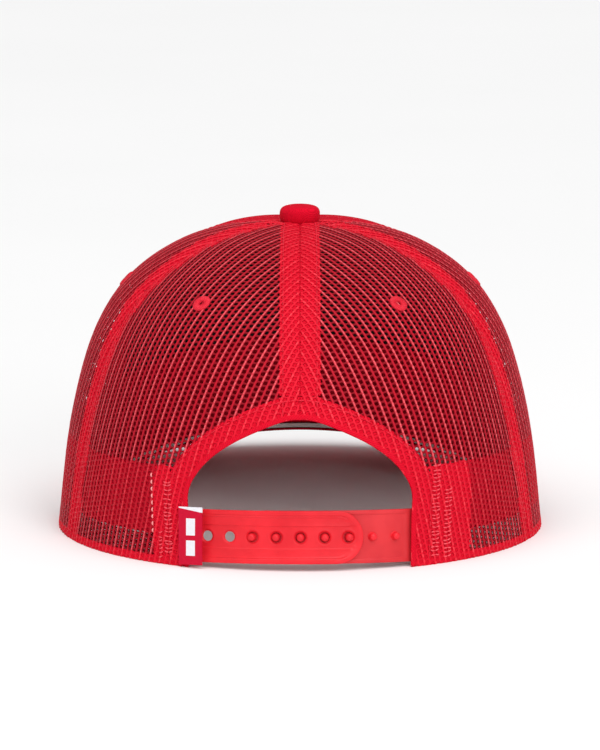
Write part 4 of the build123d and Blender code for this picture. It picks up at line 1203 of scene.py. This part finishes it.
def strap_mesh(name, side, tip_x, tab_x, holes, relief, hole_r=1.85, mat=None):
    hinge = HINGES[side]
    l_tip = side * (math.asin(tip_x / STRAP_R) - hinge) * STRAP_R
    l_end = side * (math.asin(tab_x / STRAP_R) - hinge) * STRAP_R
    cells = sorted(side * (a - hinge) * STRAP_R for a in holes)
    q = 3.3
    fine = np.array([0, 0.10, 0.25, 0.45, 0.75, 1.1, 1.5, 1.7, 1.9, 2.1, 2.3, 2.5, 2.8, 3.6, 4.6, 5.3, 5.45, 5.6, 5.75, MID_H - q])
    mid = np.linspace(MID_H - q, MID_H + q, 13)
    hs = np.concatenate([fine[:-1], mid, (STRAP_H - fine[:-1])[::-1]])
    j0 = len(fine) - 1
    marks = []
    last = l_tip
    ls = [l_tip + d for d in (0, 0.10, 0.25, 0.45, 0.75, 1.1, 1.5)]
    if cells:
        first = cells[0] - q
        if first > ls[-1] + 0.4:
            ls += list(np.linspace(ls[-1], first, max(2, int((first - ls[-1]) / 0.35) + 1))[1:-1])
        else:
            ls = [v for v in ls if v < first - 0.05]
        for i, c in enumerate(cells):
            marks.append(len(ls))
            ls += list(np.linspace(c - q, c + q, 13))
            nxt = cells[i + 1] - q if i + 1 < len(cells) else None
            if nxt is not None:
                ls += list(np.linspace(c + q, nxt, 5)[1:-1])
        ls += list(np.linspace(cells[-1] + q, l_end, int((l_end - cells[-1] - q) / 0.7) + 2)[1:])
    else:
        ls += list(np.linspace(ls[-1], l_end, int((l_end - ls[-1]) / 0.5) + 2)[1:])
    ls = np.array(ls)
    L, Hh = np.meshgrid(ls, hs, indexing="ij")
    nu, nv = L.shape
    mask = np.ones((nu - 1, nv - 1), bool)
    V2 = [np.stack([L, Hh], -1).reshape(-1, 2)]
    extra = []
    base = nu * nv
    for c, i0 in zip(cells, marks):
        mask[i0:i0 + 12, j0:j0 + 12] = False
        per = [(i0 + k, j0) for k in range(12)] + [(i0 + 12, j0 + k) for k in range(12)] + [(i0 + 12 - k, j0 + 12) for k in range(12)] + [(i0, j0 + 12 - k) for k in range(12)]
        idx = np.array([a * nv + b for a, b in per])
        sq = V2[0][idx]
        an = np.arctan2(sq[:, 1] - MID_H, sq[:, 0] - c)
        circ = np.stack([c + hole_r * np.cos(an), MID_H + hole_r * np.sin(an)], -1)
        prev = idx
        for w in (0.30, 0.48, 0.62, 0.72, 0.80, 0.87, 0.93, 0.97, 1.0):
            ringv = sq * (1 - w) + circ * w
            V2.append(ringv)
            cur = base + np.arange(48)
            for k in range(48):
                k2 = (k + 1) % 48
                extra.append([prev[k], prev[k2], cur[k2], cur[k]])
            prev = cur
            base += 48
    V2 = np.vstack(V2)
    F = np.vstack([grid_faces(nu, nv, mask)] + ([np.array(extra)] if extra else []))
    l, h = V2[:, 0], V2[:, 1]
    # distance to the nearest hole's centre, before the tip is rounded
    dh = np.full(len(l), 99.0)
    for c in cells:
        dh = np.minimum(dh, np.hypot(l - c, h - MID_H))
    R0 = MID_H - 0.02
    bow = R0 - np.sqrt(np.maximum(R0 ** 2 - (h - MID_H) ** 2, 0))
    f = np.clip(1 - (l - l_tip) / 15.0, 0, 1)
    lw = l + bow * f
    # distance in from the outline
    de = np.minimum(h, STRAP_H - h)
    cx = l_tip + R0
    inside_tip = lw < cx
    de = np.where(inside_tip, np.minimum(de, R0 - np.hypot(lw - cx, h - MID_H)), de)
    de = np.maximum(de, 0)
    out = relief(lw, h, de, dh)
    corner = 0.30 - np.sqrt(np.maximum(0.09 - np.clip(0.30 - de, 0, 0.30) ** 2, 0))
    outer_p = strap_point(lw, h, STRAP_T / 2 + out - corner, side)
    inner_p = strap_point(lw, h, np.full(len(l), -STRAP_T / 2) + corner, side)
    verts, faces = close_layers(outer_p, inner_p, F)
    return outward(make(name, verts, faces, mat, sharp=38)), cells


def left_relief(l, h, de, dh):
    groove = -0.24 * smooth01((de - 1.55) / 0.22)
    rim = 0.20 * np.exp(-((de - 2.15) / 0.20) ** 2)
    channel = -0.16 * smooth01((4.05 - np.abs(h - MID_H)) / 0.20) * smooth01((de - 2.3) / 0.4)
    lip = 0.09 * np.exp(-((np.abs(h - MID_H) - 4.2) / 0.15) ** 2) * smooth01((de - 2.6) / 0.4)
    ring = (0.07 * np.exp(-((dh - 2.75) / 0.22) ** 2) - 0.42 * smooth01((2.45 - dh) / 0.60)) * (dh < 10)
    fadeout = smooth01((-l - 0.6) / 1.6)
    return (groove + rim + channel + lip) * fadeout + ring * fadeout


def right_relief(l, h, de, dh):
    groove = -0.20 * smooth01((de - 1.45) / 0.22)
    rim = 0.06 * np.exp(-((de - 1.25) / 0.18) ** 2)
    fadeout = smooth01((-l - 0.6) / 1.6)
    return (groove + rim) * fadeout


strap_l, _ = strap_mesh("snap_strap_outer", 1, LEFT_TIP_X, LEFT_TAB_X, HOLE_A, left_relief, mat=M_STRAP)
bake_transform(strap_l)
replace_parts(strap_l, "strap_left", "strap_left_root")
strap_r, _ = strap_mesh("snap_strap_inner", -1, RIGHT_TIP_X, RIGHT_TAB_X, [], right_relief, mat=M_STRAP_IN)
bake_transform(strap_r)
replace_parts(strap_r, "strap_right", "strap_right_root")

# pegs with rounded heads
verts, faces = [], []
n = 40
prof = [(1.62, 0.08), (1.62, 0.42), (1.42, 0.58), (1.36, 0.8), (1.35, 1.6), (1.34, 2.1), (1.26, 2.45), (1.08, 2.74), (0.80, 2.94), (0.42, 3.03)]
for a in PEG_A:
    l = -(a - HINGES[-1]) * STRAP_R
    c = strap_point(np.array(l), MID_H, 0.0, -1)
    o = strap_point(np.array(l), MID_H, 1.0, -1) - c
    u = unit(strap_point(np.array(l), MID_H + 1, 0.0, -1) - c)
    s = np.cross(u, o)
    b0 = len(verts)
    for r, hgt in prof:
        for k in range(n):
            t = 2 * math.pi * k / n
            verts.append(c + o * hgt + (s * math.cos(t) + u * math.sin(t)) * r)
    for i in range(len(prof) - 1):
        for k in range(n):
            k2 = (k + 1) % n
            faces.append([b0 + i * n + k, b0 + i * n + k2, b0 + (i + 1) * n + k2, b0 + (i + 1) * n + k])
    verts.append(c + o * 3.05)
    tip = len(verts) - 1
    for k in range(n):
        faces.append([b0 + (len(prof) - 1) * n + k, b0 + (len(prof) - 1) * n + (k + 1) % n, tip])
    faces.append([b0 + k for k in range(n)][::-1])
pegs = outward(make("snap_pegs", np.array(verts), faces, M_STRAP, sharp=50))
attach(pegs, "strap_right")

# ------------------------------------------------------------------ folded flag label
nl, nh = 15, 40
M_LABEL, nt, bsdf = new_material("label_satin")
uvn = node(nt, "ShaderNodeUVMap", uv_map="grain").outputs[0]
sep = node(nt, "ShaderNodeSeparateXYZ")
nt.links.new(uvn, sep.inputs[0])
weave = node(nt, "ShaderNodeTexWave", wave_type="BANDS", bands_direction="Y", inputs={"Scale": 1.6, "Distortion": 0.4, "Detail": 1.0})
nt.links.new(uvn, weave.inputs["Vector"])
n1 = noise(nt, uvn, 0.9, 3.0)
red = mixed(nt, maths(nt, "ADD", maths(nt, "MULTIPLY", weave.outputs[1], 0.4), maths(nt, "MULTIPLY", n1, 0.6)), (0.46, 0.0015, 0.020), (0.66, 0.005, 0.040))
white = mixed(nt, n1, (0.72, 0.72, 0.78), (0.86, 0.86, 0.90))
bsdf.inputs["Roughness"].default_value = 0.55
bsdf.inputs["Specular IOR Level"].default_value = 0.12


def stripe(lo, hi, axis):
    a = maths(nt, "GREATER_THAN", sep.outputs[axis], lo)
    b = maths(nt, "LESS_THAN", sep.outputs[axis], hi)
    return maths(nt, "MULTIPLY", a, b)


across = stripe(3.0, 6.6, 0)
s1 = maths(nt, "MULTIPLY", stripe(3.2, 8.6, 1), across)
s2 = maths(nt, "MULTIPLY", stripe(10.4, 16.4, 1), across)
top_edge = maths(nt, "GREATER_THAN", maths(nt, "ADD", sep.outputs[1], maths(nt, "MULTIPLY", sep.outputs[0], 0.16)), 20.05)
fac = maths(nt, "MAXIMUM", maths(nt, "MAXIMUM", s1, s2), top_edge)
nt.links.new(mixed(nt, fac, red, white), bsdf.inputs["Base Color"])
finish_bump(nt, bsdf, maths(nt, "ADD", weave.outputs[1], maths(nt, "MULTIPLY", n1, 0.6)), 0.4, 0.0001)

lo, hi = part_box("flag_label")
hinge = np.array([42.6671, 85.9844, 11.127])
fz = np.array([0, -math.sin(STRAP_LEAN), math.cos(STRAP_LEAN)])
T38 = T_of_z(np.array([10.0]))
n38 = base_normal(np.array([math.atan2(38.0, 87.6 - APEX_Y)]), T38)[0]
turn = math.atan2(n38[0], n38[1])
fy = np.array([0, math.cos(STRAP_LEAN), math.sin(STRAP_LEAN)])
lx = np.array([math.cos(turn), 0, 0]) - fy * math.sin(turn)
lx = unit(lx)
ln = unit(np.cross(fz, lx))
if ln[1] < 0:
    ln = -ln
az_l = math.atan2(42.4, 86.6 - APEX_Y)
T_l = T_of_z(np.array([0.9]))
sewn = base_point(np.array([az_l]), T_l)[0] + base_normal(np.array([az_l]), T_l)[0] * 0.9
s = np.linspace(0, 9.4, nl)
h = np.linspace(0, 20.4, nh)
S2, H2 = np.meshgrid(s, h, indexing="ij")
curl = 0.10 * np.sin(H2 / 20.4 * math.pi * 1.3 + 0.4) * (S2 / 9.4)
outer_l = sewn - lx * S2[..., None] + fz * H2[..., None] + ln * (0.37 + curl)[..., None]
thick = 0.74 - 0.30 * np.clip((S2 - 8.4) / 1.0, 0, 1) ** 2
ob = solid_patch("label_flag", outer_l, np.broadcast_to(ln, outer_l.shape), thick[..., None], M_LABEL, uv=np.stack([S2, H2], -1))
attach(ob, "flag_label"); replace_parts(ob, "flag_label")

# ------------------------------------------------------------------ stitching on the crown
def meridian(az_deg, shift, z0, t_end, off, n=240):
    azc = math.radians(az_deg)
    TT = np.linspace(float(T_of_z(z0)), t_end, n)
    P0 = base_point(np.full(n, azc), TT)
    r = np.hypot(P0[:, 0], P0[:, 1] - APEX_Y)
    A = azc + shift / r
    return surf(A, TT, np.full(n, off)), base_normal(A, TT)


rows = []
T_ST = float(np.interp(-11.0, -TA, np.arange(TN)))
for deg in (REAR_SEAM, 360 - REAR_SEAM):
    for sh in (-5.2, 5.2):
        rows.append(meridian(deg, sh, 3.0, T_ST, 0.06))
for sh in (-6.0, 6.0):
    rows.append(meridian(0, sh, 54.5, float(np.interp(-8.0, -TA, np.arange(TN))), 0.06))
ob = stitches("crown_stitches_rear", rows, M_THREAD, length=2.3, gap=0.6, width=0.42, height=0.30)
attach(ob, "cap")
rows = []
for deg, sh in ((FRONT_SEAM, -5.2), (FRONT_SEAM, 5.2), (360 - FRONT_SEAM, -5.2), (360 - FRONT_SEAM, 5.2), (180, -5.0), (180, 5.0)):
    azr = np.array([math.radians(deg)])
    z0 = float(np.interp(hem_T(azr)[0], np.arange(len(_z)), _z)) + 1.5
    rows.append(meridian(deg, sh, z0, T_ST if deg != 180 else float(np.interp(-8.0, -TA, np.arange(TN))), 0.06))
ob = stitches("crown_stitches_front", rows, M_THREAD, length=2.5, gap=0.55, width=0.46, height=0.32)
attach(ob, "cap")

# light tacks that hold the band's ends and the strap tabs
def on_wall(x, z, off):
    a, T = az_T_of_xz(x, z)
    return surf(a, T, np.full(x.shape, off)), base_normal(a, T)


z = np.linspace(10.8, 34.0, 60)
ob = stitches("tack_stitches", [on_wall(np.full(60, 52.0), z, 0.12)], M_LIGHT_THREAD, length=1.5, gap=0.95, width=0.72, height=0.5)
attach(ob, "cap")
# bar tacks through the strap tabs: short threads across, one over the other
rows, rng = [], np.random.default_rng(5)
for x0, width, lo, hi in ((-47.6, 3.2, 3.5, 35.0), (-51.8, 3.4, 2.5, 26.0), (46.6, 3.0, 4.5, 30.0), (49.6, 1.8, 2.5, 12.0)):
    z = lo
    while z < hi:
        x = x0 + np.linspace(-width / 2, width / 2, 12) + rng.normal(0, 0.12)
        dip = 0.55 * (np.linspace(-1, 1, 12) ** 2) * (1 if rng.random() < 0.8 else -0.4)
        rows.append(on_wall(x, z + dip + rng.normal(0, 0.08), 0.10))
        z += 1.45 + rng.normal(0, 0.08)
ob = stitches("bar_tacks", rows, M_BAR_THREAD, length=1.7, gap=0.1, width=0.5, height=0.36)
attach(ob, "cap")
# row round the opening
ob = stitches("opening_stitches", [EDGE_STITCH], M_THREAD, length=2.2, gap=0.6, width=0.42, height=0.30)
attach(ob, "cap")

# ------------------------------------------------------------------ solids kept as they are
def dress(node_name, mat):
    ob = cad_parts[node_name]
    ob.data.materials.clear()
    ob.data.materials.append(mat)


for n_, m_ in (("front_backing_left", M_BACK), ("front_backing_right", M_BACK), ("button_core", M_STEEL), ("button_washer", M_STEEL)):
    dress(n_, m_)

# ------------------------------------------------------------------ stage, light and camera
M_FLOOR, nt, bsdf = new_material("pale_floor")
fc = node(nt, "ShaderNodeTexCoord").outputs["Object"]
nt.links.new(mixed(nt, noise(nt, fc, 3.0, 2.0), (0.90, 0.90, 0.90), (0.93, 0.93, 0.93)), bsdf.inputs["Base Color"])
bsdf.inputs["Roughness"].default_value = 0.9
floor = make("floor", [(-60000, -60000, 0), (60000, -60000, 0), (60000, 60000, 0), (-60000, 60000, 0)], [[0, 1, 2, 3]], M_FLOOR, smooth=False)

world = bpy.data.worlds.new("studio")
bpy.context.scene.world = world
world.use_nodes = True
world.node_tree.nodes["Background"].inputs[0].default_value = (1.0, 1.0, 1.0, 1)
world.node_tree.nodes["Background"].inputs[1].default_value = 0.42


def area_light(name, loc, target, size, power, color=(1, 1, 1)):
    ld = bpy.data.lights.new(name, "AREA")
    ld.shape = "RECTANGLE"
    ld.size, ld.size_y = size
    ld.energy = power
    ld.color = color
    lo = bpy.data.objects.new(name, ld)
    ROOT.objects.link(lo)
    lo.location = loc
    lo.rotation_euler = (Vector(target) - Vector(loc)).to_track_quat("-Z", "Y").to_euler()
    return lo


area_light("key", (-0.5, 1.5, 0.7), (0, 0, 0.06), (0.6, 0.6), 9.5)
area_light("fill", (1.0, 1.3, 0.4), (0, 0, 0.06), (0.8, 0.8), 1.5)
sun = bpy.data.lights.new("overhead", "SUN")
sun.energy = 2.0
sun.angle = math.radians(70)
so = bpy.data.objects.new("overhead", sun)
ROOT.objects.link(so)
so.rotation_euler = (math.radians(-18), 0, 0)

cam_data = bpy.data.cameras.new("view")
cam_data.sensor_fit = "VERTICAL"
cam_data.lens = 176
cam_data.sensor_height = 24
cam = bpy.data.objects.new("view", cam_data)
ROOT.objects.link(cam)
AZ, EL, DIST = math.radians(180), math.radians(9.0), 2.0
target = Vector((0, 0.02, 0.058))
cam.location = target + Vector((math.sin(AZ) * math.cos(EL), -math.cos(AZ) * math.cos(EL), math.sin(EL))) * DIST
cam.rotation_euler = (target - cam.location).to_track_quat("-Z", "Y").to_euler()
bpy.context.scene.camera = cam
bpy.context.scene.view_settings.view_transform = "Standard"
